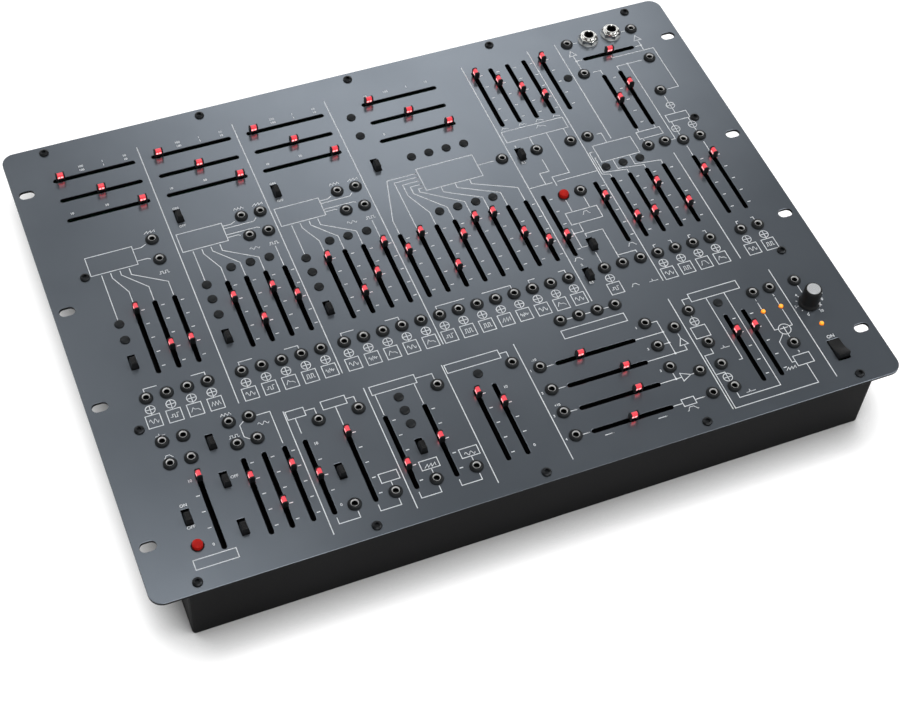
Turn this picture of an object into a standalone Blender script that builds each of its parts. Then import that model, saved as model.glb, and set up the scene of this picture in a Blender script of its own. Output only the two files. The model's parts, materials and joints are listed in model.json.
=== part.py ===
"""Analog synthesizer: a flat control panel on a folded steel tray.

The object lies on its back with the panel facing up (+Z). +X is to the panel's right
and +Y is towards its top edge. The origin is under the panel's centre, on the surface
that the tray stands on. Lengths are in metres.
"""

import math

import bmesh
import bpy
from mathutils import Matrix

MM = 0.001

# Fits and overruns
SEAT_GAP = 0.3 * MM
RUNNING_GAP = 0.4 * MM
OVERRUN = 0.5 * MM

# Front panel
PANEL_WIDTH = 482.6 * MM
PANEL_DEPTH = 355.6 * MM
PANEL_THICKNESS = 2.0 * MM
PANEL_CORNER_RADIUS = 8.5 * MM
CORNER_STEPS = 4
RACK_SLOT_LENGTH = 10.0 * MM
RACK_SLOT_WIDTH = 6.5 * MM
RACK_SLOT_INSET = 8.8 * MM
RACK_SLOT_END_STEPS = 3
SCREW_HEAD_RADIUS = 3.15 * MM
SCREW_HEAD_HEIGHT = 1.6 * MM
SCREW_HEAD_CHAMFER = 0.8 * MM
SCREW_EDGE_INSET = 6.6 * MM
SCREW_SIDES = 6

# Tray
EAR_WIDTH = 20.9 * MM
TRAY_HEIGHT = 44.0 * MM
TRAY_SHEET = 1.2 * MM
TRAY_FRONT_INSET = 0.7 * MM
TRAY_BEND_RADIUS = 2.0 * MM
TRAY_BEND_STEPS = 2
TAB_LENGTH = 12.0 * MM
TAB_REACH = 8.4 * MM
TAB_HEIGHT = 5.0 * MM
STANDOFF_RADIUS = 3.0 * MM
STANDOFF_HEIGHT = 5.0 * MM
STANDOFF_SIDES = 6

# Control boards
BOARD_THICKNESS = 1.6 * MM
BOARD_DROP = 11.5 * MM
BOARD_EDGE_CLEARANCE = 1.0 * MM
BOARD_SPLIT_GAP = 0.8 * MM
EDGE_COLUMN_INSET = 9.0 * MM

# Faders
FADER_TRAVEL = 45.0 * MM
SHORT_FADER_TRAVEL = 30.0 * MM
FADER_SLOT_WIDTH = 2.9 * MM
FADER_SLOT_MARGIN = 3.2 * MM
FADER_FRAME_MARGIN = 4.7 * MM
FADER_FRAME_WIDTH = 7.0 * MM
FADER_FRAME_HEIGHT = 9.0 * MM
FADER_FRAME_FLOOR = 1.2 * MM
CAP_LENGTH = 5.8 * MM
CAP_WIDTH = 3.4 * MM
CAP_LIFT = 1.2 * MM
CAP_HEIGHT = 5.4 * MM
CAP_END_PLATE = 0.9 * MM
CAP_SADDLE_DEPTH = 0.4 * MM
STEM_INSET = 0.9 * MM
FADER_QUARTERS = 4

# Patch sockets
SOCKET_RADIUS = 4.3 * MM
SOCKET_RISE = 2.0 * MM
SOCKET_BORE_RADIUS = 1.75 * MM
SOCKET_BORE_DEPTH = 12.0 * MM
SOCKET_SIDES = 6

# Output sockets
OUTPUT_WASHER_RADIUS = 7.3 * MM
OUTPUT_WASHER_HEIGHT = 0.8 * MM
OUTPUT_NUT_RADIUS = 6.9 * MM
OUTPUT_NUT_HEIGHT = 4.2 * MM
OUTPUT_NUT_BEVEL = 1.2 * MM
OUTPUT_COLLAR_RISE = 7.0 * MM
OUTPUT_BARREL_RADIUS = 4.7 * MM
OUTPUT_BORE_RADIUS = 3.3 * MM
OUTPUT_BORE_DEPTH = 27.0 * MM
OUTPUT_BODY_WIDTH = 14.5 * MM
OUTPUT_BODY_HEIGHT = 26.0 * MM
OUTPUT_NUT_SIDES = 6
OUTPUT_BORE_SIDES = 12

# Slide switches
SWITCH_OPENING_LENGTH = 11.4 * MM
SWITCH_OPENING_WIDTH = 4.8 * MM
SWITCH_LEVER_LENGTH = 5.4 * MM
SWITCH_LEVER_WIDTH = 4.0 * MM
SWITCH_LEVER_RISE = 5.0 * MM
SWITCH_LEVER_TAPER = 0.5 * MM
SWITCH_TRAVEL = 4.0 * MM
SWITCH_HOUSING_LENGTH = 14.0 * MM
SWITCH_HOUSING_WIDTH = 7.0 * MM
SWITCH_HOUSING_HEIGHT = 7.2 * MM

# Power rocker
ROCKER_LENGTH = 15.2 * MM
ROCKER_WIDTH = 8.4 * MM
ROCKER_END_RISE = 2.4 * MM
ROCKER_DIP = 1.0 * MM
ROCKER_TILT_DEG = 8.0
ROCKER_FOOT_LENGTH = 9.0 * MM
ROCKER_FOOT_DROP = 3.0 * MM
ROCKER_END_GAP = 0.9 * MM
ROCKER_HOUSING_MARGIN = 1.6 * MM

# Push buttons
BUTTON_RADIUS = 3.2 * MM
BUTTON_RISE = 3.0 * MM
BUTTON_STROKE = 0.9 * MM
BUTTON_SIDES = 12
BUTTON_HOUSING_WIDTH = 6.0 * MM

# Headphone volume knob
KNOB_BASE_RADIUS = 7.0 * MM
KNOB_TOP_RADIUS = 5.6 * MM
KNOB_SKIRT_HEIGHT = 2.0 * MM
KNOB_HEIGHT = 14.4 * MM
KNOB_DISC_RADIUS = 4.6 * MM
KNOB_DISC_RISE = 0.4 * MM
KNOB_SHAFT_RADIUS = 3.0 * MM
KNOB_SIDES = 16
POT_BODY_WIDTH = 9.6 * MM

# Lamps
LAMP_RADIUS = 1.7 * MM
LAMP_RISE = 1.6 * MM
LAMP_SIDES = 6

# Main board and what stands on it
MAIN_BOARD_WIDTH = 372.0 * MM
MAIN_BOARD_DEPTH = 142.0 * MM
MAIN_BOARD_REAR_GAP = 1.6 * MM
STANDOFF_EDGE_INSET = 8.0 * MM
REAR_SOCKET_DEPTH = 14.0 * MM
DATA_SOCKET_WIDTH = 20.0 * MM
DATA_SOCKET_HEIGHT = 19.0 * MM
DATA_FACE_RADIUS = 7.4 * MM
DATA_RECESS_DEPTH = 1.2 * MM
DATA_FACE_SIDES = 12
SQUARE_SOCKET_WIDTH = 12.0 * MM
SQUARE_SOCKET_HEIGHT = 11.0 * MM
SQUARE_RECESS_WIDTH = 8.6 * MM
SQUARE_RECESS_HEIGHT = 7.6 * MM
SQUARE_RECESS_DEPTH = 9.0 * MM
INLET_WIDTH = 10.0 * MM
INLET_HEIGHT = 11.0 * MM
INLET_BORE_RADIUS = 3.1 * MM
INLET_BORE_DEPTH = 9.0 * MM
INLET_SIDES = 12
REAR_OPENING_MARGIN = 0.5 * MM

# Heat sink
HEAT_SINK_WIDTH = 60.0 * MM
HEAT_SINK_DEPTH = 24.0 * MM
HEAT_SINK_HEIGHT = 17.0 * MM
HEAT_SINK_BASE = 3.0 * MM
HEAT_SINK_FINS = 7
HEAT_SINK_FIN = 1.6 * MM

# Spring reverb
REVERB_LENGTH = 235.0 * MM
REVERB_WIDTH = 44.0 * MM
REVERB_HEIGHT = 20.0 * MM
REVERB_SHEET = 0.9 * MM
REVERB_POST = 5.0 * MM
REVERB_POST_HEIGHT = 12.0 * MM
REVERB_POST_INSET = 14.0 * MM
SPRING_RADIUS = 2.4 * MM
SPRING_SIDES = 8

# Ribbon cable
RIBBON_WIDTH = 33.0 * MM
RIBBON_THICKNESS = 0.9 * MM
RIBBON_SAG = 7.0 * MM
RIBBON_STEPS = 12
CONNECTOR_LENGTH = 38.0 * MM
CONNECTOR_WIDTH = 6.0 * MM
CONNECTOR_HEIGHT = 5.5 * MM

# Levels that follow from the sizes above
PANEL_LEVEL = TRAY_HEIGHT
PANEL_FACE = PANEL_LEVEL + PANEL_THICKNESS
BOARD_FACE = PANEL_LEVEL - BOARD_DROP
BOARD_LEVEL = BOARD_FACE - BOARD_THICKNESS
FRAME_FLOOR_LEVEL = BOARD_FACE + FADER_FRAME_FLOOR
HOUSING_LEVEL = BOARD_FACE + SWITCH_HOUSING_HEIGHT
MAIN_BOARD_LEVEL = TRAY_SHEET + STANDOFF_HEIGHT + SEAT_GAP
MAIN_BOARD_FACE = MAIN_BOARD_LEVEL + BOARD_THICKNESS
STEM_GROOVE = CAP_WIDTH - 2 * STEM_INSET + 2 * RUNNING_GAP
TRAY_WIDTH = PANEL_WIDTH - 2 * EAR_WIDTH
TRAY_DEPTH = PANEL_DEPTH - 2 * TRAY_FRONT_INSET
TRAY_INNER_WIDTH = TRAY_WIDTH - 2 * TRAY_SHEET
TRAY_INNER_DEPTH = TRAY_DEPTH - 2 * TRAY_SHEET
EDGE_COLUMN = TRAY_INNER_WIDTH / 2 - EDGE_COLUMN_INSET

# Columns, as shares of the panel's width from its left edge
COLUMN_PITCH_SHARE = 1 / 38
OSCILLATOR_1_SHARE = 0.0748
OSCILLATOR_2_SHARE = 0.1983
OSCILLATOR_3_SHARE = 0.3351
MIXER_SHARE = 0.9088
LOWER_SHARE = 0.1596
MULTIPLE_SHARE = 0.6111
SAMPLER_SHARE = 0.8201

# Rows, as shares of the panel's depth from its top edge
TOP_FADER_ROW_SHARES = (0.0917, 0.1417, 0.1921)
ENVELOPE_ROW_SHARE = 0.1544
PAN_ROW_SHARE = 0.1139
REVERB_ROW_SHARE = 0.2433
MIDDLE_ROW_SHARE = 0.4958
PATCH_ROW_SHARE = 0.6161
LOWER_ROW_SHARE = 0.8614
PROCESSOR_ROW_SHARES = (0.7823, 0.8327, 0.8827, 0.9331)
UPPER_SPLIT_SHARE = 0.4020
LOWER_SPLIT_SHARE = 0.6700

# The middle bank and the reverb pair: name, first column, row, rest places in quarters
# of the travel, counted from the middle towards the panel's lower edge
MOVING_FADER_SHARES = (
    ("oscillator_1_fader", OSCILLATOR_1_SHARE + COLUMN_PITCH_SHARE, MIDDLE_ROW_SHARE, (-2, 1, 1)),
    ("oscillator_2_fader", OSCILLATOR_2_SHARE + COLUMN_PITCH_SHARE, MIDDLE_ROW_SHARE, (-1, 1, -1, 0)),
    ("oscillator_3_fader", OSCILLATOR_3_SHARE + COLUMN_PITCH_SHARE, MIDDLE_ROW_SHARE, (-2, 1, 0, -2)),
    (
        "filter_fader",
        OSCILLATOR_3_SHARE + 5 * COLUMN_PITCH_SHARE,
        MIDDLE_ROW_SHARE,
        (-1, -2, 1, -1, -2, -2, 0, 1),
    ),
    ("attack_fader", OSCILLATOR_3_SHARE + 13 * COLUMN_PITCH_SHARE, MIDDLE_ROW_SHARE, (1,)),
    ("release_fader", OSCILLATOR_3_SHARE + 16 * COLUMN_PITCH_SHARE, MIDDLE_ROW_SHARE, (-1,)),
    (
        "amplifier_fader",
        OSCILLATOR_3_SHARE + 17 * COLUMN_PITCH_SHARE,
        MIDDLE_ROW_SHARE,
        (1, 1, -1, 1),
    ),
    ("mixer_fader", MIXER_SHARE, MIDDLE_ROW_SHARE, (-1, -2)),
    ("reverb_fader", 0.8556, REVERB_ROW_SHARE, (0, -1)),
)

# The other upright faders, which are joined to their boards: column, row, rest quarter
UPRIGHT_FADER_SHARES = (
    (0.6765, ENVELOPE_ROW_SHARE, -2),
    (0.7031, ENVELOPE_ROW_SHARE, -1),
    (0.7296, ENVELOPE_ROW_SHARE, 0),
    (0.7555, ENVELOPE_ROW_SHARE, 1),
    (0.7818, ENVELOPE_ROW_SHARE, -2),
    (OSCILLATOR_1_SHARE + COLUMN_PITCH_SHARE, LOWER_ROW_SHARE, -2),
    (LOWER_SHARE, LOWER_ROW_SHARE, -1),
    (LOWER_SHARE + COLUMN_PITCH_SHARE, LOWER_ROW_SHARE, 1),
    (LOWER_SHARE + 2 * COLUMN_PITCH_SHARE, LOWER_ROW_SHARE, -1),
    (LOWER_SHARE + 3 * COLUMN_PITCH_SHARE, LOWER_ROW_SHARE, 0),
    (LOWER_SHARE + 5 * COLUMN_PITCH_SHARE, LOWER_ROW_SHARE, -2),
    (LOWER_SHARE + 7 * COLUMN_PITCH_SHARE, LOWER_ROW_SHARE, 1),
    (LOWER_SHARE + 9 * COLUMN_PITCH_SHARE, LOWER_ROW_SHARE, 0),
    (0.4646, LOWER_ROW_SHARE, -2),
    (0.4905, LOWER_ROW_SHARE, -1),
    (SAMPLER_SHARE, LOWER_ROW_SHARE, -1),
    (SAMPLER_SHARE + COLUMN_PITCH_SHARE, LOWER_ROW_SHARE, -1),
)

# The level faders that run across: centre columns of the top groups, and their rest
# quarters from the top row down, counted from the middle towards the right
TOP_GROUP_SHARES = (0.1140, 0.2507, 0.3873, 0.5582)
TOP_GROUP_RESTS = (-2, 0, 2)
PROCESSOR_COLUMN_SHARE = 0.6341
PROCESSOR_RESTS = (-1, 1, 1, 0)
PAN_COLUMN_SHARE = 0.8819

# Patch sockets in rows: first column, number of sockets, row
SOCKET_ROW_SHARES = (
    (OSCILLATOR_1_SHARE, 4, PATCH_ROW_SHARE),
    (OSCILLATOR_2_SHARE, 5, PATCH_ROW_SHARE),
    (OSCILLATOR_3_SHARE, 13, PATCH_ROW_SHARE),
    (OSCILLATOR_3_SHARE + 14 * COLUMN_PITCH_SHARE, 7, PATCH_ROW_SHARE),
    (MIXER_SHARE, 2, PATCH_ROW_SHARE),
    (OSCILLATOR_1_SHARE + 3 * COLUMN_PITCH_SHARE, 1, 0.2837),
    (OSCILLATOR_1_SHARE + 3 * COLUMN_PITCH_SHARE, 1, 0.3324),
    (OSCILLATOR_2_SHARE + 3 * COLUMN_PITCH_SHARE, 2, 0.2837),
    (OSCILLATOR_2_SHARE + 3 * COLUMN_PITCH_SHARE, 2, 0.3324),
    (OSCILLATOR_3_SHARE + 3 * COLUMN_PITCH_SHARE, 2, 0.2837),
    (OSCILLATOR_3_SHARE + 3 * COLUMN_PITCH_SHARE, 2, 0.3324),
    (OSCILLATOR_3_SHARE + 12 * COLUMN_PITCH_SHARE, 1, 0.3088),
    (OSCILLATOR_3_SHARE + 14 * COLUMN_PITCH_SHARE, 1, 0.3088),
    (OSCILLATOR_3_SHARE + 16 * COLUMN_PITCH_SHARE, 2, 0.3088),
    (MULTIPLE_SHARE, 4, 0.6991),
    (OSCILLATOR_1_SHARE, 2, 0.7092),
    (OSCILLATOR_1_SHARE, 2, 0.7553),
    (LOWER_SHARE, 2, 0.7092),
    (LOWER_SHARE, 2, 0.7553),
    (SAMPLER_SHARE + 2 * COLUMN_PITCH_SHARE, 2, 0.7545),
)

# Patch sockets on their own: column, row
SOCKET_SHARES = (
    (0.8301, 0.0658),
    (0.9351, 0.0658),
    (0.8291, 0.1527),
    (0.9351, 0.1527),
    (0.9210, 0.2421),
    (0.8566, 0.3684),
    (0.8825, 0.3684),
    (MIXER_SHARE, 0.3765),
    (MIXER_SHARE + COLUMN_PITCH_SHARE, 0.3765),
    (0.7300, 0.4308),
    (0.2646, 0.7545),
    (0.3170, 0.7545),
    (0.4225, 0.7545),
    (0.5251, 0.7545),
    (0.2646, 0.9311),
    (0.3170, 0.9311),
    (0.3701, 0.9311),
    (0.4225, 0.9311),
    (0.5559, 0.7804),
    (0.5559, 0.8307),
    (0.5559, 0.8808),
    (0.5559, 0.9311),
    (0.7136, 0.7545),
    (0.7136, 0.8076),
    (0.7136, 0.8563),
    (0.7476, 0.7804),
    (0.7476, 0.8808),
    (0.7476, 0.9311),
    (0.7782, 0.7545),
    (0.7782, 0.8307),
    (0.7782, 0.8808),
    (0.7782, 0.9311),
    (0.8850, 0.8808),
    (MIXER_SHARE + COLUMN_PITCH_SHARE, 0.7545),
)

OUTPUT_SOCKET_SHARES = (("output_socket_left", 0.8641, 0.0675), ("output_socket_right", 0.9014, 0.0661))

SWITCH_SHARES = (
    ("sync_switch_2", OSCILLATOR_2_SHARE, 0.2458),
    ("sync_switch_3", OSCILLATOR_3_SHARE, 0.2458),
    ("filter_mode_switch", 0.4805, 0.2458),
    ("envelope_speed_switch", 0.6786, 0.3088),
    ("trigger_source_switch", 0.7051, 0.5565),
    ("envelope_factor_switch", 0.6786, 0.6190),
    ("keyboard_switch_1", OSCILLATOR_1_SHARE, 0.5360),
    ("keyboard_switch_2", OSCILLATOR_2_SHARE, 0.5360),
    ("keyboard_switch_3", OSCILLATOR_3_SHARE, 0.5360),
    ("portamento_switch", 0.0725, 0.8619),
    ("voice_mode_switch", 0.1305, 0.7362),
    ("repeat_switch", 0.1305, 0.8144),
    ("trigger_mode_switch", 0.1305, 0.9094),
    ("preamp_range_switch", LOWER_SHARE + 4 * COLUMN_PITCH_SHARE, 0.8619),
    ("ring_coupling_switch", LOWER_SHARE + 8 * COLUMN_PITCH_SHARE, 0.8619),
)

BUTTON_SHARES = (("trigger_button", 0.7045, 0.4308), ("portamento_button", 0.0725, 0.9182))
KNOB_ROW_SHARE = 0.8122
ROCKER_ROW_SHARE = 0.9215
LAMP_SHARES = ((0.8711, 0.8015), (0.8976, 0.8015), (0.9351, 0.8605))

SCREW_COLUMN_SHARES = (0.0582, 0.2791, 0.5000, 0.7209, 0.9418)
SIDE_SCREW_SHARES = ((0.0539, 0.3304), (0.0539, 0.6746), (0.9441, 0.3304), (0.9441, 0.6867))
RACK_SLOT_ROW_SHARES = (0.1071, 0.3929, 0.6071, 0.8929)

# Rear sockets on the main board, as shares of the panel's width
DATA_SOCKET_COLUMN_SHARES = (0.300, 0.370)
SQUARE_SOCKET_COLUMN_SHARE = 0.430
INLET_COLUMN_SHARE = 0.220
HEAT_SINK_PLACE_SHARE = (0.30, 0.20)
CONNECTOR_PLACE_SHARE = (0.60, 0.24)
REVERB_PLACE_SHARE = (0.50, 0.72)


def clear_scene():
    for thing in list(bpy.data.objects):
        bpy.data.objects.remove(thing)


def across(column_share):
    """Distance to the right of the panel's centre."""
    return (column_share - 0.5) * PANEL_WIDTH


def upward(row_share):
    """Distance from the panel's centre towards its top edge."""
    return (0.5 - row_share) * PANEL_DEPTH


def finish_material(name, colour, roughness, metallic=0.0):
    material = bpy.data.materials.new(name)
    material.use_nodes = True
    shader = material.node_tree.nodes["Principled BSDF"]
    shader.inputs["Base Color"].default_value = (*colour, 1.0)
    shader.inputs["Roughness"].default_value = roughness
    shader.inputs["Metallic"].default_value = metallic
    return material


def rectangle(centre_x, centre_y, width, depth):
    """Corners, counter-clockwise."""
    signs = ((-1, -1), (1, -1), (1, 1), (-1, 1))
    return [(centre_x + i * width / 2, centre_y + j * depth / 2) for i, j in signs]


def rounded_rectangle(centre_x, centre_y, width, depth, radius, steps):
    points = []
    for quarter, (i, j) in enumerate(((1, -1), (1, 1), (-1, 1), (-1, -1))):
        middle_x = centre_x + i * (width / 2 - radius)
        middle_y = centre_y + j * (depth / 2 - radius)
        for step in range(steps + 1):
            angle = math.radians(90 * (quarter - 1 + step / steps))
            points.append((middle_x + radius * math.cos(angle), middle_y + radius * math.sin(angle)))
    return points


def slot_outline(centre_x, centre_y, length, width, steps):
    """A slot along X with round ends, counter-clockwise."""
    points = []
    for end in (1, -1):
        middle_x = centre_x + end * (length - width) / 2
        for step in range(steps + 1):
            angle = math.radians(180 * step / steps - 90)
            reach = end * width / 2
            points.append((middle_x + reach * math.cos(angle), centre_y + reach * math.sin(angle)))
    return points


def ring_outline(centre_x, centre_y, radius, sides):
    """A regular polygon with flat sides facing +Y and -Y where the count is even."""
    turns = [2 * math.pi * (i + 0.5) / sides + math.pi / 2 for i in range(sides)]
    return [(centre_x + radius * math.cos(a), centre_y + radius * math.sin(a)) for a in turns]


def add_stack(mesh, rings):
    """Skins rings of equal count, given as (outline, level) from the bottom up, and caps them."""
    loops = [[mesh.verts.new((x, y, level)) for x, y in outline] for outline, level in rings]
    for lower, upper in zip(loops, loops[1:]):
        for i in range(len(lower)):
            j = (i + 1) % len(lower)
            mesh.faces.new((lower[i], lower[j], upper[j], upper[i]))
    mesh.faces.new(list(reversed(loops[0])))
    mesh.faces.new(loops[-1])


def add_prism(mesh, outline, low, high):
    add_stack(mesh, ((outline, low), (outline, high)))


def add_turned(mesh, centre, profile, sides):
    """A round piece from (radius, level) pairs that run up its outside and down its bore."""
    add_stack(mesh, [(ring_outline(*centre, radius, sides), level) for radius, level in profile])


def add_extrusion(mesh, outline, low, high, axis):
    """A prism whose outline lies in the plane square to X or Y and which runs along that axis."""
    before = set(mesh.verts)
    add_prism(mesh, outline, low, high)
    fresh = [v for v in mesh.verts if v not in before]
    rows = ((0, 0, 1), (1, 0, 0), (0, 1, 0)) if axis == "X" else ((1, 0, 0), (0, 0, 1), (0, 1, 0))
    bmesh.ops.transform(mesh, matrix=Matrix(rows).to_4x4(), verts=fresh)


def put_object(name, mesh, material=None, place=(0, 0, 0), turn=0.0):
    bmesh.ops.recalc_face_normals(mesh, faces=mesh.faces)
    data = bpy.data.meshes.new(name)
    mesh.to_mesh(data)
    mesh.free()
    thing = bpy.data.objects.new(name, data)
    bpy.context.scene.collection.objects.link(thing)
    thing.location = place
    thing.rotation_euler.z = turn
    if material:
        data.materials.append(material)
    return thing


def put_copy(name, model, place, turn=0.0):
    thing = bpy.data.objects.new(name, model)
    bpy.context.scene.collection.objects.link(thing)
    thing.location = place
    thing.rotation_euler.z = turn
    return thing


def combine(target, mesh, operation, label):
    """Joins a mesh to the target or cuts it from it, with a hidden helper at the target's place."""
    helper = put_object(f"{target.name}_{label}", mesh, place=target.location)
    helper.hide_render = True
    helper.display_type = "WIRE"
    step = target.modifiers.new(label, "BOOLEAN")
    step.operation = operation
    step.solver = "EXACT"
    step.use_self = True
    step.object = helper
    return helper


def smooth_shade(thing, angle_deg=40.0):
    thing.data.shade_smooth()
    thing.data.set_sharp_from_angle(angle=math.radians(angle_deg))


def column_run(first_share, count):
    return [first_share + i * COLUMN_PITCH_SHARE for i in range(count)]


def socket_places():
    """Centres of the patch sockets on the panel."""
    places = [(across(column), upward(row)) for column, row in SOCKET_SHARES]
    for first, count, row in SOCKET_ROW_SHARES:
        places += [(across(column), upward(row)) for column in column_run(first, count)]
    return places


def moving_faders():
    """Name, centre and rest offset along +Y of each fader that has its own joint."""
    faders = []
    for name, first, row, rests in MOVING_FADER_SHARES:
        for i, (column, rest) in enumerate(zip(column_run(first, len(rests)), rests)):
            label = f"{name}_{i + 1}" if len(rests) > 1 else name
            faders.append((label, across(column), upward(row), -rest * FADER_TRAVEL / FADER_QUARTERS))
    return faders


def fixed_upright_faders():
    """Centre and rest offset of the upright faders that are joined to their boards."""
    return [
        (across(column), upward(row), -rest * FADER_TRAVEL / FADER_QUARTERS)
        for column, row, rest in UPRIGHT_FADER_SHARES
    ]


def fixed_level_faders():
    """Centre, travel and rest offset along +X of the faders that run across."""
    faders = [(across(PAN_COLUMN_SHARE), upward(PAN_ROW_SHARE), SHORT_FADER_TRAVEL, 0.0)]
    for column in TOP_GROUP_SHARES:
        for row, rest in zip(TOP_FADER_ROW_SHARES, TOP_GROUP_RESTS):
            offset = rest * FADER_TRAVEL / FADER_QUARTERS
            faders.append((across(column), upward(row), FADER_TRAVEL, offset))
    for row, rest in zip(PROCESSOR_ROW_SHARES, PROCESSOR_RESTS):
        offset = rest * FADER_TRAVEL / FADER_QUARTERS
        faders.append((across(PROCESSOR_COLUMN_SHARE), upward(row), FADER_TRAVEL, offset))
    return faders


def upright_centres():
    return [f[1:3] for f in moving_faders()] + [f[:2] for f in fixed_upright_faders()]


def screw_places():
    places = [(across(column), upward(row)) for column, row in SIDE_SCREW_SHARES]
    for column in SCREW_COLUMN_SHARES:
        for side in (-1, 1):
            places.append((across(column), side * (PANEL_DEPTH / 2 - SCREW_EDGE_INSET)))
    return places


def panel_openings():
    """Outlines of everything that is cut through the front panel."""
    slot = FADER_TRAVEL + CAP_LENGTH + FADER_SLOT_MARGIN
    outlines = [rectangle(x, y, FADER_SLOT_WIDTH, slot) for x, y in upright_centres()]
    for x, y, travel, _ in fixed_level_faders():
        outlines.append(rectangle(x, y, travel + CAP_LENGTH + FADER_SLOT_MARGIN, FADER_SLOT_WIDTH))
    for x, y in socket_places():
        outlines.append(ring_outline(x, y, SOCKET_RADIUS + SEAT_GAP, SOCKET_SIDES))
    for _, column, row in SWITCH_SHARES:
        outlines.append(rectangle(across(column), upward(row), SWITCH_OPENING_WIDTH, SWITCH_OPENING_LENGTH))
    return outlines + round_openings() + rack_slots() + [rocker_opening()]


def round_openings():
    outlines = []
    for _, column, row in OUTPUT_SOCKET_SHARES:
        radius = OUTPUT_BARREL_RADIUS + SEAT_GAP
        outlines.append(ring_outline(across(column), upward(row), radius, OUTPUT_BORE_SIDES))
    for _, column, row in BUTTON_SHARES:
        radius = BUTTON_RADIUS + RUNNING_GAP
        outlines.append(ring_outline(across(column), upward(row), radius, BUTTON_SIDES))
    for column, row in LAMP_SHARES:
        outlines.append(ring_outline(across(column), upward(row), LAMP_RADIUS + SEAT_GAP, LAMP_SIDES))
    radius = KNOB_SHAFT_RADIUS + RUNNING_GAP
    outlines.append(ring_outline(EDGE_COLUMN, upward(KNOB_ROW_SHARE), radius, KNOB_SIDES))
    return outlines


def rack_slots():
    outlines = []
    for side in (-1, 1):
        x = side * (PANEL_WIDTH / 2 - RACK_SLOT_INSET)
        for row in RACK_SLOT_ROW_SHARES:
            outlines.append(
                slot_outline(x, upward(row), RACK_SLOT_LENGTH, RACK_SLOT_WIDTH, RACK_SLOT_END_STEPS)
            )
    return outlines


def rocker_opening():
    width, length = ROCKER_WIDTH + 2 * RUNNING_GAP, ROCKER_LENGTH + 2 * ROCKER_END_GAP
    return rectangle(EDGE_COLUMN, upward(ROCKER_ROW_SHARE), width, length)


def build_front_panel(material):
    """Sheet panel with its openings, and the heads of the screws that hold it."""
    mesh = bmesh.new()
    outline = rounded_rectangle(0, 0, PANEL_WIDTH, PANEL_DEPTH, PANEL_CORNER_RADIUS, CORNER_STEPS)
    add_prism(mesh, outline, 0, PANEL_THICKNESS)
    panel = put_object("front_panel", mesh, material, place=(0, 0, PANEL_LEVEL))
    cuts = bmesh.new()
    for outline in panel_openings():
        add_prism(cuts, outline, -OVERRUN, PANEL_THICKNESS + OVERRUN)
    combine(panel, cuts, "DIFFERENCE", "openings")
    heads = bmesh.new()
    for place in screw_places():
        rings = (
            (SCREW_HEAD_RADIUS, PANEL_THICKNESS - OVERRUN),
            (SCREW_HEAD_RADIUS, PANEL_THICKNESS + SCREW_HEAD_HEIGHT - SCREW_HEAD_CHAMFER),
            (SCREW_HEAD_RADIUS - SCREW_HEAD_CHAMFER, PANEL_THICKNESS + SCREW_HEAD_HEIGHT),
        )
        add_turned(heads, place, rings, SCREW_SIDES)
    combine(panel, heads, "UNION", "screw_heads")
    return panel


def add_tabs(mesh):
    """Tapped tabs inside the tray's walls, under the panel's screws."""
    high = TRAY_HEIGHT - SEAT_GAP
    half_width, half_depth = TRAY_WIDTH / 2 - OVERRUN, TRAY_DEPTH / 2 - OVERRUN
    inner_x, inner_y = TRAY_INNER_WIDTH / 2 - TAB_REACH, TRAY_INNER_DEPTH / 2 - TAB_REACH
    for x, y in screw_places():
        if abs(y) > inner_y:
            side = math.copysign(1, y)
            middle, reach = side * (half_depth + inner_y) / 2, half_depth - inner_y
            add_prism(mesh, rectangle(x, middle, TAB_LENGTH, reach), high - TAB_HEIGHT, high)
        else:
            side = math.copysign(1, x)
            middle, reach = side * (half_width + inner_x) / 2, half_width - inner_x
            add_prism(mesh, rectangle(middle, y, reach, TAB_LENGTH), high - TAB_HEIGHT, high)


def main_board_centre():
    """Its rear edge keeps a gap to the tray's rear wall."""
    return (0, TRAY_INNER_DEPTH / 2 - MAIN_BOARD_REAR_GAP - MAIN_BOARD_DEPTH / 2)


def standoff_places():
    centre_x, centre_y = main_board_centre()
    width = MAIN_BOARD_WIDTH - 2 * STANDOFF_EDGE_INSET
    depth = MAIN_BOARD_DEPTH - 2 * STANDOFF_EDGE_INSET
    return rectangle(centre_x, centre_y, width, depth)


def rear_sockets():
    """Column, width and height of each socket that shows through the tray's rear wall."""
    sockets = [(column, DATA_SOCKET_WIDTH, DATA_SOCKET_HEIGHT) for column in DATA_SOCKET_COLUMN_SHARES]
    sockets.append((SQUARE_SOCKET_COLUMN_SHARE, SQUARE_SOCKET_WIDTH, SQUARE_SOCKET_HEIGHT))
    sockets.append((INLET_COLUMN_SHARE, INLET_WIDTH, INLET_HEIGHT))
    return sockets


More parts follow.
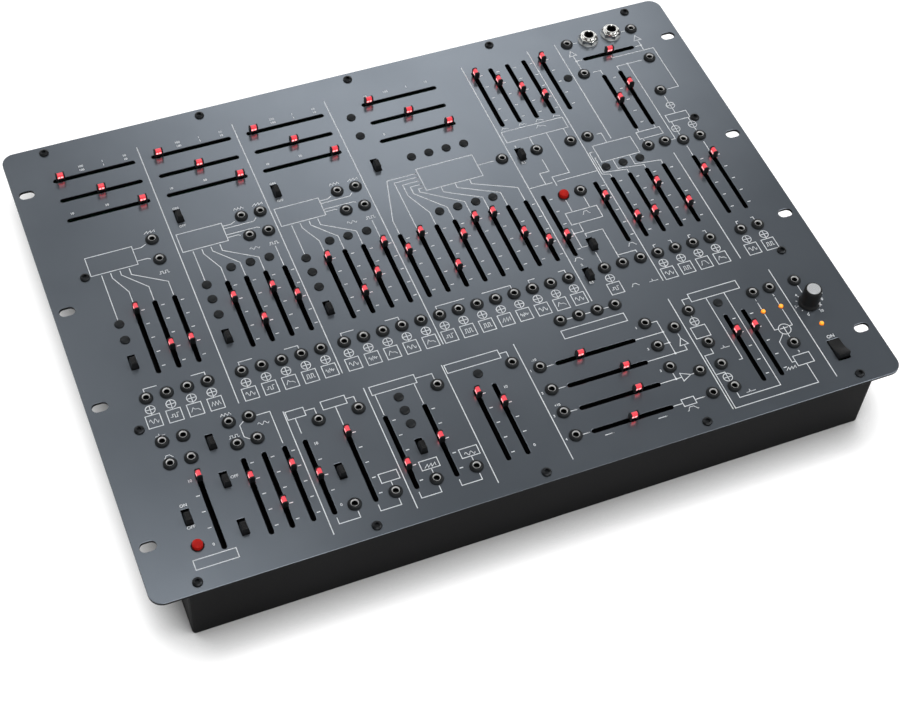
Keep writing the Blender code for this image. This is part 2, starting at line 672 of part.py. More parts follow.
def build_chassis_tray(material):
    """Folded tray with its tabs, standoffs and rear openings."""
    mesh = bmesh.new()
    outer = rounded_rectangle(0, 0, TRAY_WIDTH, TRAY_DEPTH, TRAY_BEND_RADIUS, TRAY_BEND_STEPS)
    add_prism(mesh, outer, 0, TRAY_HEIGHT - SEAT_GAP)
    tray = put_object("chassis_tray", mesh, material)
    hollow = bmesh.new()
    inner_radius = TRAY_BEND_RADIUS - TRAY_SHEET
    inner = rounded_rectangle(0, 0, TRAY_INNER_WIDTH, TRAY_INNER_DEPTH, inner_radius, TRAY_BEND_STEPS)
    add_prism(hollow, inner, TRAY_SHEET, TRAY_HEIGHT + OVERRUN)
    combine(tray, hollow, "DIFFERENCE", "hollow")
    holes = bmesh.new()
    for column, width, height in rear_sockets():
        opening = rectangle(
            across(column),
            MAIN_BOARD_FACE + height / 2,
            width + 2 * REAR_OPENING_MARGIN,
            height + 2 * REAR_OPENING_MARGIN,
        )
        add_extrusion(holes, opening, TRAY_INNER_DEPTH / 2 - OVERRUN, TRAY_DEPTH / 2 + OVERRUN, "Y")
    combine(tray, holes, "DIFFERENCE", "rear_openings")
    fittings = bmesh.new()
    add_tabs(fittings)
    for x, y in standoff_places():
        foot = ring_outline(x, y, STANDOFF_RADIUS, STANDOFF_SIDES)
        add_prism(fittings, foot, TRAY_SHEET - OVERRUN, TRAY_SHEET + STANDOFF_HEIGHT)
    combine(tray, fittings, "UNION", "tabs_and_standoffs")
    return tray


def add_frame(mesh, x, y, travel, upright):
    """A fader's frame: a channel that is open at the top, where the stem runs."""
    half, groove = FADER_FRAME_WIDTH / 2, STEM_GROOVE / 2
    low, high = BOARD_FACE - OVERRUN - BOARD_LEVEL, BOARD_FACE + FADER_FRAME_HEIGHT - BOARD_LEVEL
    floor = FRAME_FLOOR_LEVEL - BOARD_LEVEL
    centre, along = (x, y) if upright else (y, x)
    section = (
        (centre - half, low),
        (centre + half, low),
        (centre + half, high),
        (centre + groove, high),
        (centre + groove, floor),
        (centre - groove, floor),
        (centre - groove, high),
        (centre - half, high),
    )
    reach = (travel + CAP_LENGTH + FADER_FRAME_MARGIN) / 2
    add_extrusion(mesh, section, along - reach, along + reach, "Y" if upright else "X")


def add_fader(mesh, foot):
    """A cap with its stem, centred on the origin; levels are from the panel's face."""
    half_length, half_width = CAP_LENGTH / 2, CAP_WIDTH / 2
    low, high = CAP_LIFT, CAP_LIFT + CAP_HEIGHT
    saddle = half_length - CAP_END_PLATE
    profile = (
        (-half_length, low),
        (half_length, low),
        (half_length, high),
        (saddle, high),
        (saddle, high - CAP_SADDLE_DEPTH),
        (-saddle, high - CAP_SADDLE_DEPTH),
        (-saddle, high),
        (-half_length, high),
    )
    add_extrusion(mesh, profile, -half_width, half_width, "X")
    bottom = [f for f in mesh.faces if max(v.co.z for v in f.verts) < low + CAP_SADDLE_DEPTH]
    bmesh.ops.recalc_face_normals(mesh, faces=mesh.faces)
    bmesh.ops.inset_region(mesh, faces=bottom, thickness=STEM_INSET)
    stem = bmesh.ops.extrude_face_region(mesh, geom=bottom)
    bmesh.ops.delete(mesh, geom=bottom, context="FACES_ONLY")
    tip = [v for v in stem["geom"] if isinstance(v, bmesh.types.BMVert)]
    bmesh.ops.translate(mesh, vec=(0, 0, foot - low), verts=tip)


def add_fixed_fader(mesh, x, y, upright, level):
    """A fader that is joined to its frame's floor; the level is the panel's face."""
    single = bmesh.new()
    add_fader(single, FRAME_FLOOR_LEVEL - PANEL_FACE - OVERRUN)
    turn = Matrix.Rotation(0 if upright else math.radians(90), 4, "Z")
    bmesh.ops.transform(single, matrix=Matrix.Translation((x, y, level)) @ turn, verts=single.verts)
    data = bpy.data.meshes.new("fixed_fader")
    single.to_mesh(data)
    single.free()
    mesh.from_mesh(data)


def add_socket(mesh, x, y):
    """A patch socket from the board up through the panel, with its bore."""
    top = PANEL_FACE + SOCKET_RISE - BOARD_LEVEL
    profile = (
        (SOCKET_RADIUS, BOARD_THICKNESS - OVERRUN),
        (SOCKET_RADIUS, top),
        (SOCKET_BORE_RADIUS, top),
        (SOCKET_BORE_RADIUS, top - SOCKET_BORE_DEPTH),
    )
    add_turned(mesh, (x, y), profile, SOCKET_SIDES)


def add_lamp(mesh, x, y):
    face = PANEL_FACE - BOARD_LEVEL
    profile = (
        (LAMP_RADIUS, BOARD_THICKNESS - OVERRUN),
        (LAMP_RADIUS, face + LAMP_RISE / 2),
        (LAMP_RADIUS / 2, face + LAMP_RISE),
    )
    add_turned(mesh, (x, y), profile, LAMP_SIDES)


def housings():
    """Centre, width and depth of each block under a switch, button, rocker or knob."""
    blocks = [
        (across(column), upward(row), SWITCH_HOUSING_WIDTH, SWITCH_HOUSING_LENGTH)
        for _, column, row in SWITCH_SHARES
    ]
    for _, column, row in BUTTON_SHARES:
        blocks.append((across(column), upward(row), BUTTON_HOUSING_WIDTH, BUTTON_HOUSING_WIDTH))
    blocks.append((EDGE_COLUMN, upward(KNOB_ROW_SHARE), POT_BODY_WIDTH, POT_BODY_WIDTH))
    width, length = ROCKER_WIDTH + 2 * ROCKER_HOUSING_MARGIN, ROCKER_LENGTH + 2 * ROCKER_HOUSING_MARGIN
    blocks.append((EDGE_COLUMN, upward(ROCKER_ROW_SHARE), width, length))
    return blocks


def build_control_board(name, top_share, bottom_share, material):
    """One of the boards behind the panel, with the frames, sockets and housings on it."""
    high, low = upward(top_share), upward(bottom_share) + BOARD_SPLIT_GAP
    if top_share == 0:
        high = TRAY_INNER_DEPTH / 2 - TAB_REACH - BOARD_EDGE_CLEARANCE
    if bottom_share == 1:
        low = BOARD_EDGE_CLEARANCE + TAB_REACH - TRAY_INNER_DEPTH / 2
    width = TRAY_INNER_WIDTH - 2 * BOARD_EDGE_CLEARANCE
    plate = bmesh.new()
    add_prism(plate, rectangle(0, (high + low) / 2, width, high - low), 0, BOARD_THICKNESS)
    board = put_object(name, plate, material, place=(0, 0, BOARD_LEVEL))
    parts = bmesh.new()
    for x, y in upright_centres():
        if low < y < high:
            add_frame(parts, x, y, FADER_TRAVEL, True)
    for x, y, travel, _ in fixed_level_faders():
        if low < y < high:
            add_frame(parts, x, y, travel, False)
    for x, y in socket_places():
        if low < y < high:
            add_socket(parts, x, y)
    for x, y, block_width, block_depth in housings():
        if low < y < high:
            block = rectangle(x, y, block_width, block_depth)
            add_prism(parts, block, BOARD_THICKNESS - OVERRUN, HOUSING_LEVEL - BOARD_LEVEL)
    for column, row in LAMP_SHARES:
        if low < upward(row) < high:
            add_lamp(parts, across(column), upward(row))
    combine(board, parts, "UNION", "parts")
    fixed = bmesh.new()
    face = PANEL_FACE - BOARD_LEVEL
    for x, y, offset in fixed_upright_faders():
        if low < y < high:
            add_fixed_fader(fixed, x, y + offset, True, face)
    for x, y, _, offset in fixed_level_faders():
        if low < y < high:
            add_fixed_fader(fixed, x + offset, y, False, face)
    if fixed.verts:
        combine(board, fixed, "UNION", "fixed_faders")
    return board


def cut_output_bay(board):
    """Opens the upper board round the bodies of the two output sockets."""
    cuts = bmesh.new()
    places = [(across(column), upward(row)) for _, column, row in OUTPUT_SOCKET_SHARES]
    side = OUTPUT_BODY_WIDTH + 2 * RUNNING_GAP
    left, right = places[0][0] - side / 2, places[1][0] + side / 2
    low, high = min(y for _, y in places) - side / 2, max(y for _, y in places) + side / 2
    bay = rectangle((left + right) / 2, (low + high) / 2, right - left, high - low)
    add_prism(cuts, bay, -OVERRUN, BOARD_THICKNESS + OVERRUN)
    combine(board, cuts, "DIFFERENCE", "output_bay")


def add_ribbon_header(board):
    """The connector under the upper board that takes the ribbon cable."""
    place = (across(CONNECTOR_PLACE_SHARE[0]), upward(CONNECTOR_PLACE_SHARE[1]))
    header = bmesh.new()
    add_prism(header, rectangle(*place, CONNECTOR_LENGTH, CONNECTOR_WIDTH), -CONNECTOR_HEIGHT, OVERRUN)
    combine(board, header, "UNION", "ribbon_header")


def build_output_socket(name, column, row, material):
    """Quarter inch socket: box body, threaded barrel through the panel, washer and nut."""
    mesh = bmesh.new()
    low = -PANEL_THICKNESS - SEAT_GAP
    body = rectangle(0, 0, OUTPUT_BODY_WIDTH, OUTPUT_BODY_WIDTH)
    add_prism(mesh, body, low - OUTPUT_BODY_HEIGHT, low)
    socket = put_object(name, mesh, material, place=(across(column), upward(row), PANEL_FACE))
    barrel = bmesh.new()
    outline = ring_outline(0, 0, OUTPUT_BARREL_RADIUS, OUTPUT_BORE_SIDES)
    add_prism(barrel, outline, low - OVERRUN, OUTPUT_COLLAR_RISE)
    combine(socket, barrel, "UNION", "barrel")
    seat = SEAT_GAP + OUTPUT_WASHER_HEIGHT
    washer = bmesh.new()
    outline = ring_outline(0, 0, OUTPUT_WASHER_RADIUS, OUTPUT_BORE_SIDES)
    add_prism(washer, outline, SEAT_GAP, seat)
    combine(socket, washer, "UNION", "washer")
    nut = bmesh.new()
    rings = (
        (OUTPUT_NUT_RADIUS, seat - OVERRUN),
        (OUTPUT_NUT_RADIUS, seat + OUTPUT_NUT_HEIGHT - OUTPUT_NUT_BEVEL),
        (OUTPUT_NUT_RADIUS - OUTPUT_NUT_BEVEL, seat + OUTPUT_NUT_HEIGHT),
    )
    add_turned(nut, (0, 0), rings, OUTPUT_NUT_SIDES)
    combine(socket, nut, "UNION", "nut")
    bore = bmesh.new()
    outline = ring_outline(0, 0, OUTPUT_BORE_RADIUS, OUTPUT_BORE_SIDES)
    add_prism(bore, outline, OUTPUT_COLLAR_RISE - OUTPUT_BORE_DEPTH, OUTPUT_COLLAR_RISE + OVERRUN)
    combine(socket, bore, "DIFFERENCE", "bore")
    return socket


def build_moving_faders(material):
    """One shared mesh, placed at each fader's rest position."""
    mesh = bmesh.new()
    add_fader(mesh, FRAME_FLOOR_LEVEL + SEAT_GAP - PANEL_FACE)
    model = None
    for name, x, y, offset in moving_faders():
        place = (x, y + offset, PANEL_FACE)
        if model is None:
            model = put_object(name, mesh, material, place).data
        else:
            put_copy(name, model, place)


def build_switch_levers(material):
    """Slide switch levers, resting at the end nearest the panel's lower edge."""
    mesh = bmesh.new()
    foot = HOUSING_LEVEL + SEAT_GAP - PANEL_FACE
    lever = rectangle(0, 0, SWITCH_LEVER_WIDTH, SWITCH_LEVER_LENGTH)
    taper = 2 * SWITCH_LEVER_TAPER
    tip = rectangle(0, 0, SWITCH_LEVER_WIDTH - taper, SWITCH_LEVER_LENGTH - taper)
    add_stack(mesh, ((lever, foot), (lever, 0), (tip, SWITCH_LEVER_RISE)))
    model = None
    for name, column, row in SWITCH_SHARES:
        place = (across(column), upward(row) - SWITCH_TRAVEL / 2, PANEL_FACE)
        if model is None:
            model = put_object(name, mesh, material, place).data
        else:
            put_copy(name, model, place)


def build_power_rocker(material):
    """Rocker that tips about its pivot, at rest with its upper end pressed in."""
    half, foot = ROCKER_LENGTH / 2, ROCKER_FOOT_LENGTH / 2
    rise = PANEL_THICKNESS + ROCKER_END_RISE
    profile = (
        (-foot, -ROCKER_FOOT_DROP),
        (foot, -ROCKER_FOOT_DROP),
        (half, 0),
        (half, rise),
        (0, rise - ROCKER_DIP),
        (-half, rise),
        (-half, 0),
    )
    mesh = bmesh.new()
    add_extrusion(mesh, profile, -ROCKER_WIDTH / 2, ROCKER_WIDTH / 2, "X")
    place = (EDGE_COLUMN, upward(ROCKER_ROW_SHARE), PANEL_LEVEL)
    rocker = put_object("power_rocker", mesh, material, place)
    rocker.rotation_euler.x = -math.radians(ROCKER_TILT_DEG)


def build_buttons(material):
    foot = HOUSING_LEVEL - PANEL_FACE + BUTTON_STROKE + RUNNING_GAP
    for name, column, row in BUTTON_SHARES:
        mesh = bmesh.new()
        add_turned(mesh, (0, 0), ((BUTTON_RADIUS, foot), (BUTTON_RADIUS, BUTTON_RISE)), BUTTON_SIDES)
        button = put_object(name, mesh, material, (across(column), upward(row), PANEL_FACE))
        smooth_shade(button)


def build_phones_knob(material):
    """Volume knob, with the shaft that turns in the panel."""
    foot = HOUSING_LEVEL + SEAT_GAP - PANEL_FACE
    top = SEAT_GAP + KNOB_HEIGHT
    profile = (
        (KNOB_SHAFT_RADIUS, foot),
        (KNOB_SHAFT_RADIUS, SEAT_GAP),
        (KNOB_BASE_RADIUS, SEAT_GAP),
        (KNOB_BASE_RADIUS, SEAT_GAP + KNOB_SKIRT_HEIGHT),
        (KNOB_TOP_RADIUS, top),
        (KNOB_DISC_RADIUS, top),
        (KNOB_DISC_RADIUS, top + KNOB_DISC_RISE),
    )
    mesh = bmesh.new()
    add_turned(mesh, (0, 0), profile, KNOB_SIDES)
    place = (EDGE_COLUMN, upward(KNOB_ROW_SHARE), PANEL_FACE)
    smooth_shade(put_object("phones_knob", mesh, material, place))


def build_main_board(material):
    """Main board on the tray's standoffs, with its rear sockets and ribbon connector."""
    centre_x, centre_y = main_board_centre()
    mesh = bmesh.new()
    add_prism(mesh, rectangle(centre_x, centre_y, MAIN_BOARD_WIDTH, MAIN_BOARD_DEPTH), 0, BOARD_THICKNESS)
    board = put_object("main_board", mesh, material, place=(0, 0, MAIN_BOARD_LEVEL))
    rear = TRAY_DEPTH / 2
    blocks = bmesh.new()
    for column, width, height in rear_sockets():
        block = rectangle(across(column), rear - REAR_SOCKET_DEPTH / 2, width, REAR_SOCKET_DEPTH)
        add_prism(blocks, block, BOARD_THICKNESS - OVERRUN, BOARD_THICKNESS + height)
    place = (across(CONNECTOR_PLACE_SHARE[0]), upward(CONNECTOR_PLACE_SHARE[1]))
    header = rectangle(*place, CONNECTOR_LENGTH, CONNECTOR_WIDTH)
    add_prism(blocks, header, BOARD_THICKNESS - OVERRUN, BOARD_THICKNESS + CONNECTOR_HEIGHT)
    combine(board, blocks, "UNION", "sockets")
    recesses = bmesh.new()
    for column in DATA_SOCKET_COLUMN_SHARES:
        level = BOARD_THICKNESS + DATA_SOCKET_HEIGHT / 2
        face = ring_outline(across(column), level, DATA_FACE_RADIUS, DATA_FACE_SIDES)
        add_extrusion(recesses, face, rear - DATA_RECESS_DEPTH, rear + OVERRUN, "Y")
    level = BOARD_THICKNESS + SQUARE_SOCKET_HEIGHT / 2
    square = rectangle(across(SQUARE_SOCKET_COLUMN_SHARE), level, SQUARE_RECESS_WIDTH, SQUARE_RECESS_HEIGHT)
    add_extrusion(recesses, square, rear - SQUARE_RECESS_DEPTH, rear + OVERRUN, "Y")
    level = BOARD_THICKNESS + INLET_HEIGHT / 2
    bore = ring_outline(across(INLET_COLUMN_SHARE), level, INLET_BORE_RADIUS, INLET_SIDES)
    add_extrusion(recesses, bore, rear - INLET_BORE_DEPTH, rear + OVERRUN, "Y")
    combine(board, recesses, "DIFFERENCE", "recesses")


def build_heat_sink(material):
    """Finned block on the main board."""
    pitch = (HEAT_SINK_WIDTH - HEAT_SINK_FIN) / (HEAT_SINK_FINS - 1)
    left = -HEAT_SINK_WIDTH / 2
    outline = [(left, 0), (-left, 0)]
    for i in reversed(range(HEAT_SINK_FINS)):
        edge = left + i * pitch
        if i < HEAT_SINK_FINS - 1:
            outline.append((edge + HEAT_SINK_FIN, HEAT_SINK_BASE))
        outline += [(edge + HEAT_SINK_FIN, HEAT_SINK_HEIGHT), (edge, HEAT_SINK_HEIGHT)]
        if i:
            outline.append((edge, HEAT_SINK_BASE))
    mesh = bmesh.new()
    add_extrusion(mesh, outline, -HEAT_SINK_DEPTH / 2, HEAT_SINK_DEPTH / 2, "Y")
    column, row = HEAT_SINK_PLACE_SHARE
    put_object("heat_sink", mesh, material, (across(column), upward(row), MAIN_BOARD_FACE + SEAT_GAP))


def reverb_place():
    return (across(REVERB_PLACE_SHARE[0]), upward(REVERB_PLACE_SHARE[1]), TRAY_SHEET + SEAT_GAP)


def build_reverb_tank(material):
    """Open steel pan with the two posts that hold its spring."""
    mesh = bmesh.new()
    add_prism(mesh, rectangle(0, 0, REVERB_LENGTH, REVERB_WIDTH), 0, REVERB_HEIGHT)
    tank = put_object("reverb_tank", mesh, material, reverb_place())
    hollow = bmesh.new()
    length, width = REVERB_LENGTH - 2 * REVERB_SHEET, REVERB_WIDTH - 2 * REVERB_SHEET
    add_prism(hollow, rectangle(0, 0, length, width), REVERB_SHEET, REVERB_HEIGHT + OVERRUN)
    combine(tank, hollow, "DIFFERENCE", "hollow")
    posts = bmesh.new()
    for side in (-1, 1):
        centre = side * (REVERB_LENGTH / 2 - REVERB_POST_INSET)
        post = rectangle(centre, 0, REVERB_POST, REVERB_POST)
        add_prism(posts, post, REVERB_SHEET - OVERRUN, REVERB_POST_HEIGHT)
    combine(tank, posts, "UNION", "posts")


def build_reverb_spring(material):
    """The spring's outer form, held between the tank's posts."""
    half = REVERB_LENGTH / 2 - REVERB_POST_INSET - REVERB_POST / 2 - SEAT_GAP
    mesh = bmesh.new()
    add_extrusion(mesh, ring_outline(0, 0, SPRING_RADIUS, SPRING_SIDES), -half, half, "X")
    x, y, level = reverb_place()
    put_object("reverb_spring", mesh, material, (x, y, level + REVERB_POST_HEIGHT - SPRING_RADIUS))


def build_ribbon_cable(material):
    """Flat cable that rises in a bow from the main board to the upper board."""
    low = MAIN_BOARD_FACE + CONNECTOR_HEIGHT + SEAT_GAP
    high = BOARD_LEVEL - CONNECTOR_HEIGHT - SEAT_GAP
    half = RIBBON_THICKNESS / 2
    middle = []
    for i in range(RIBBON_STEPS + 1):
        share = i / RIBBON_STEPS
        middle.append((-RIBBON_SAG * math.sin(math.pi * share) ** 2, low + share * (high - low)))
    outline = [(x + half, z) for x, z in middle] + [(x - half, z) for x, z in reversed(middle)]
    mesh = bmesh.new()
    add_extrusion(mesh, outline, -RIBBON_WIDTH / 2, RIBBON_WIDTH / 2, "X")
    column, row = CONNECTOR_PLACE_SHARE
    put_object("ribbon_cable", mesh, material, (across(column), upward(row), 0))


def main():
    clear_scene()
    grey_paint = finish_material("satin_grey_paint", (0.13, 0.15, 0.17), 0.35)
    black_paint = finish_material("black_powder_coat", (0.02, 0.02, 0.022), 0.6)
    black_plastic = finish_material("black_plastic", (0.015, 0.015, 0.017), 0.4)
    board_lacquer = finish_material("black_board_lacquer", (0.02, 0.03, 0.025), 0.5)
    red_plastic = finish_material("red_plastic", (0.75, 0.05, 0.03), 0.35)
    fader_plastic = finish_material("lit_red_fader_plastic", (0.6, 0.02, 0.03), 0.35)
    chrome = finish_material("chrome_plate", (0.75, 0.75, 0.77), 0.15, 1.0)
    steel = finish_material("zinc_plated_steel", (0.6, 0.6, 0.6), 0.4, 1.0)
    grey_vinyl = finish_material("grey_ribbon_vinyl", (0.35, 0.35, 0.36), 0.6)
    build_front_panel(grey_paint)
    build_chassis_tray(black_paint)
    upper = build_control_board("upper_board", 0, UPPER_SPLIT_SHARE, board_lacquer)
    cut_output_bay(upper)
    add_ribbon_header(upper)
    build_control_board("middle_board", UPPER_SPLIT_SHARE, LOWER_SPLIT_SHARE, board_lacquer)
    build_control_board("lower_board", LOWER_SPLIT_SHARE, 1, board_lacquer)
    build_main_board(board_lacquer)
    build_heat_sink(steel)
    build_reverb_tank(steel)
    build_reverb_spring(steel)
    build_ribbon_cable(grey_vinyl)
    for name, column, row in OUTPUT_SOCKET_SHARES:
        build_output_socket(name, column, row, chrome)
    build_moving_faders(fader_plastic)
    build_switch_levers(black_plastic)
    build_power_rocker(black_plastic)
    build_buttons(red_plastic)
    build_phones_knob(black_plastic)


main()
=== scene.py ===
import json
import math

import bmesh
import bpy
from mathutils import Matrix, Vector

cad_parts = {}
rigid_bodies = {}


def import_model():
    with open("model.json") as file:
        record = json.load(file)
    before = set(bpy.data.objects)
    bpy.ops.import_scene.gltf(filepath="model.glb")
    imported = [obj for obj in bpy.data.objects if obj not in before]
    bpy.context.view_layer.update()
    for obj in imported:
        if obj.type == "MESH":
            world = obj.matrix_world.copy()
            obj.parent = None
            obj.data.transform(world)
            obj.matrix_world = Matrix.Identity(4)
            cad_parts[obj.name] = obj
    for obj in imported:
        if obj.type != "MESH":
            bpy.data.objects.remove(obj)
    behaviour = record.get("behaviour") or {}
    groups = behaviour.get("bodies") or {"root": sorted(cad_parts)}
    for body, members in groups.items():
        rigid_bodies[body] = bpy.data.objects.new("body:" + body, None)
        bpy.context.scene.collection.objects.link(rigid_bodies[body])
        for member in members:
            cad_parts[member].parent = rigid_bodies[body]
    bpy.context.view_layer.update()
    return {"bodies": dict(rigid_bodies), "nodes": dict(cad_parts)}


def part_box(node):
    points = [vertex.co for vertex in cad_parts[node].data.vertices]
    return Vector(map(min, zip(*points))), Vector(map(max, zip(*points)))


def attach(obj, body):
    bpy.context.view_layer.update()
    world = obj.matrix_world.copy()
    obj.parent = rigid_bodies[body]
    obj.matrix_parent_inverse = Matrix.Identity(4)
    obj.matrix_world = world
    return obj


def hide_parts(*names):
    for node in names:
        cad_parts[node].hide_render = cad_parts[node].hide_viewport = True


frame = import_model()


def grid(columns, rows):
    """Places in every one of these columns at every one of these rows."""
    return tuple((column, row) for column in columns for row in rows)


# The synthesizer lies on its back with its panel up. Tables give places on the panel in millimetres:
# columns from its left edge, rows from its top edge, heights from the bottom of the case.
MM = 0.001
PANEL_WIDTH = 482.6
PANEL_DEPTH = 355.6
PANEL_LEVEL = 44.0
PANEL_FACE = 46.0
PANEL_CORNER = 8.5
PANEL_EDGE = 0.22
# A face of the plate is a wall when it is this steep. Walls further in than the margins from the side and top
# edges belong to openings and are painted black: painted shade for the deep narrow cuts, whose walls lie in
# shadow. The plate's rim is coated like the tray.
WALL_TILT = 0.3
PAINTED_SHADE_MARGINS = (2.5, 3.2)
FULL_TURN = 2 * math.pi
CREASE = math.radians(32)
PLATE_CREASE = math.radians(4)
# How far a wave texture's phase runs over a length of one at a scale of one.
WAVE_RATE = 20
# The parts of a noise's range that the tones and the roughness of a finish use, and how hard its grain shows.
TONE_STOPS = (0.35, 0.65)
SPECK_RANGE = (0.3, 0.7)
GRAIN_STRENGTH = 0.5

SLOT_WIDTH = 3.2
SLOT_LENGTH = 54.9
PAN_SLOT_LENGTH = 39.8
SLOT_END_STEPS = 8
HOLE_STEPS = 20
SMALL_HOLE_STEPS = 12

# Marks beside the faders. A cap stands at one of them, counted from the middle of its slot.
TICK_STEP = 11.25
TICK_SIZE = (2.2, 0.62)
TICK_REACH = 4.15
ALL_TICKS = (-2, -1, 0, 1, 2)
INNER_TICKS = (-1, 0, 1)
# Faders with their marks on the left, faders with inner marks only, and the pair with shared marks between.
LEFT_TICKED = (49.0,)
INNER_TICKED = (49.0, 115.1, 236.7)
PAIR_ROW = 86.5
PAIR_TICK_COLUMN = 419.3

# Faders that run up the panel: row of the slots, then the column of each and the mark its cap stands at.
UPRIGHT_FADERS = (
    (54.9, ((326.5, -2), (339.3, -1), (352.1, 0), (364.6, 1), (377.3, -2))),
    (PAIR_ROW, ((412.9, 0), (425.5, -1))),
    (176.3, ((48.8, -2), (61.5, 1), (74.2, 1), (108.6, -1), (121.1, 1), (133.8, -1), (146.5, 0), (174.3, -2),
             (187.0, 1), (199.7, 0), (212.4, -2), (225.1, -1), (237.8, -2), (250.5, 1), (263.2, -1),
             (275.8, -2), (288.5, -2), (301.2, 0), (313.9, 1), (326.5, 1), (364.6, -1), (377.6, 1),
             (390.3, 1), (403.0, -1), (415.7, 1), (438.6, -1), (451.3, -2))),
    (306.3, ((49.0, -2), (77.0, -1), (89.6, 1), (102.3, -1), (115.1, 0), (140.4, -2), (165.8, 1), (191.1, 0),
             (224.2, -2), (236.7, -1), (395.8, -1), (408.5, -1))),
)
# Faders that run across the panel: row, then the middle column of each and the mark its cap stands at.
PAN_ROW = 40.5
CROSS_FADERS = (
    *((row, tuple((column, mark) for column in (55.0, 121.0, 186.9, 269.4)))
      for row, mark in ((32.6, -2), (50.4, 0), (68.3, 2))),
    (PAN_ROW, ((425.6, 0),)),
    *((row, ((306.0, mark),)) for row, mark in ((278.2, -1), (296.1, 1), (313.9, 1), (331.8, 0))),
)

# Small sockets, by row. The long row has a source frame under most of its sockets, with a signal symbol.
SOURCE_ROW = 219.1
SOURCE_COLUMNS = (36.1, 48.8, 61.5, 74.2, 95.7, 108.4, 121.1, 133.8, 146.5, 161.7, 174.4, 187.1, 199.8, 212.5,
                  225.1, 237.8, 250.5, 263.2, 275.9, 288.6, 301.3, 313.9, 339.3, 352.2, 365.1, 377.6, 390.3,
                  403.0, 415.7, 438.6, 451.3)
SOURCE_SYMBOLS = ("sine steps envelope triangle sine steps envelope pulse noise sine noise envelope sine "
                  "envelope steps pulse pulse saw noise sine envelope sine steps bare bare sine pulse swell "
                  "envelope sine pulse").split()
SOURCES = tuple(entry for entry in zip(SOURCE_COLUMNS, SOURCE_SYMBOLS) if entry[1] != "bare")
SOCKETS = (
    *((row, (74.1, 133.7, 146.5, 199.6, 212.4)) for row in (100.9, 118.2)),
    (109.8, (313.9, 339.3, 364.6, 377.3)), (23.4, (400.6, 451.3)), (54.3, (400.1, 451.3)), (86.1, (444.5,)),
    (131.0, (413.4, 425.9)), (133.9, (438.5, 451.3)), (153.2, (352.3,)), (SOURCE_ROW, SOURCE_COLUMNS),
    (248.6, (294.9, 307.7, 320.5, 333.0)),
    *((row, (36.2, 49.0, 77.0, 89.5)) for row in (252.2, 268.6)),
    (268.6, (127.7, 153.0, 203.9, 253.4, 344.4, 375.2)), (269.3, (420.8, 433.0, 451.3)),
    (331.1, (127.7, 153.0, 178.6, 203.9, 268.3, 360.8, 375.7)), (277.5, (268.3, 360.8)),
    (295.4, (268.3, 375.7)), (313.2, (268.3, 360.8, 375.7)), (313.9, (426.7,)), (287.2, (344.4,)),
    (304.5, (344.4,)),
)
SOCKET_PLACES = tuple((column, row) for row, columns in SOCKETS for column in columns)
SOCKET_HOLE = 3.4
SOCKET_RADIUS = 4.3
SOCKET_RISE = 2.0

# The other controls: column and row of each middle.
SWITCHES = ((95.8, 87.4), (161.9, 87.4), (231.9, 87.4), (327.5, 109.8), (340.3, 197.9), (327.5, 220.1),
            (36.2, 190.6), (95.8, 190.6), (161.7, 190.6), (35.0, 306.5), (63.0, 261.8), (63.0, 289.6),
            (63.0, 323.4), (127.9, 306.9), (178.6, 306.5))
SWITCH_OPENING = (4.8, 11.4)
ROCKER = (451.5, 327.7)
ROCKER_OPENING = (8.9, 16.4)
ROCKER_WIDTH = 8.3
BUTTONS = ((340.0, 153.2), (35.0, 326.5))
BUTTON_HOLE = 3.6
BUTTON_RADIUS = 3.2
KNOB = (451.5, 288.8)
KNOB_ANGLE = math.radians(314)
KNOB_HOLE = 3.6
LAMPS = ((420.4, 285.0), (433.2, 285.0), (451.3, 306.0))
LAMP_RADIUS = 1.5
LAMP_HOLE = 1.7
OUTPUTS = ((417.0, 24.0), (435.0, 23.5))
OUTPUT_HOLE = 5.2
NUT_CORNER = 6.9
RACK_SLOTS = grid((8.75, 473.85), (38.1, 139.7, 215.9, 317.5))
RACK_SLOT_SIZE = (10.0, 6.5)
SCREWS = (*grid((28.1, 134.7, 241.3, 347.9, 454.5), (6.0, 349.0)), *grid((26.0,), (117.5, 239.9)),
          *grid((455.6,), (117.5, 244.2)))
SCREW_RADIUS = 3.15
DRIVE_RADIUS = 1.7
PLUGS = (*grid((257.0, 269.5, 282.1, 294.9), (88.1,)), *grid((231.2,), (41.0, 59.1)),
         *grid((114.6, 127.4, 140.0, 180.7, 193.3, 206.1, 257.0, 269.8, 282.6, 294.9, 377.7, 390.4, 403.0),
               (139.2,)),
         *grid((95.8, 161.7), (147.9, 160.0, 172.8)), *grid((36.2,), (160.0, 172.8)),
         *grid((178.6,), (269.1, 279.4, 289.6)), (230.5, 269.1), (396.0, 269.1), (387.8, 54.3))
PLUG_RADIUS = 3.15

# Fader caps, with heights from the panel's face.
CAP_LENGTH = 5.8
CAP_WIDTH = 3.4
CAP_FOOT = 1.2
CAP_TOP = 6.6
CAP_PLATE = 0.98
LENS_FOOT = 3.4
LENS_WIDTH = 2.5
LENS_DROP = 0.1
LENS_OVERLAP = 0.02
WINDOW_STARTS = (-1.7, 0.3)
WINDOW_LENGTH = 1.4
WINDOW_SIDES = (1.1, 1.42)
WINDOW_HEIGHTS = (LENS_FOOT - 0.2, LENS_FOOT + 1.0)
PLATE_SHOULDER = 0.7
LENS_SHOULDER = 0.75
STEM_HALF = (1.2, 0.45)
FIXED_STEM_FOOT = -7.0
# Between these levels the glow of the lenses fades upwards, and that of the lamps grows.
LENS_GLOW = (49.3, 52.4)
LAMP_GLOW = (46.2, 47.3)
# A cap belongs to the sliding node whose middle is nearer to it than this.
SAME_PLACE = 3.0

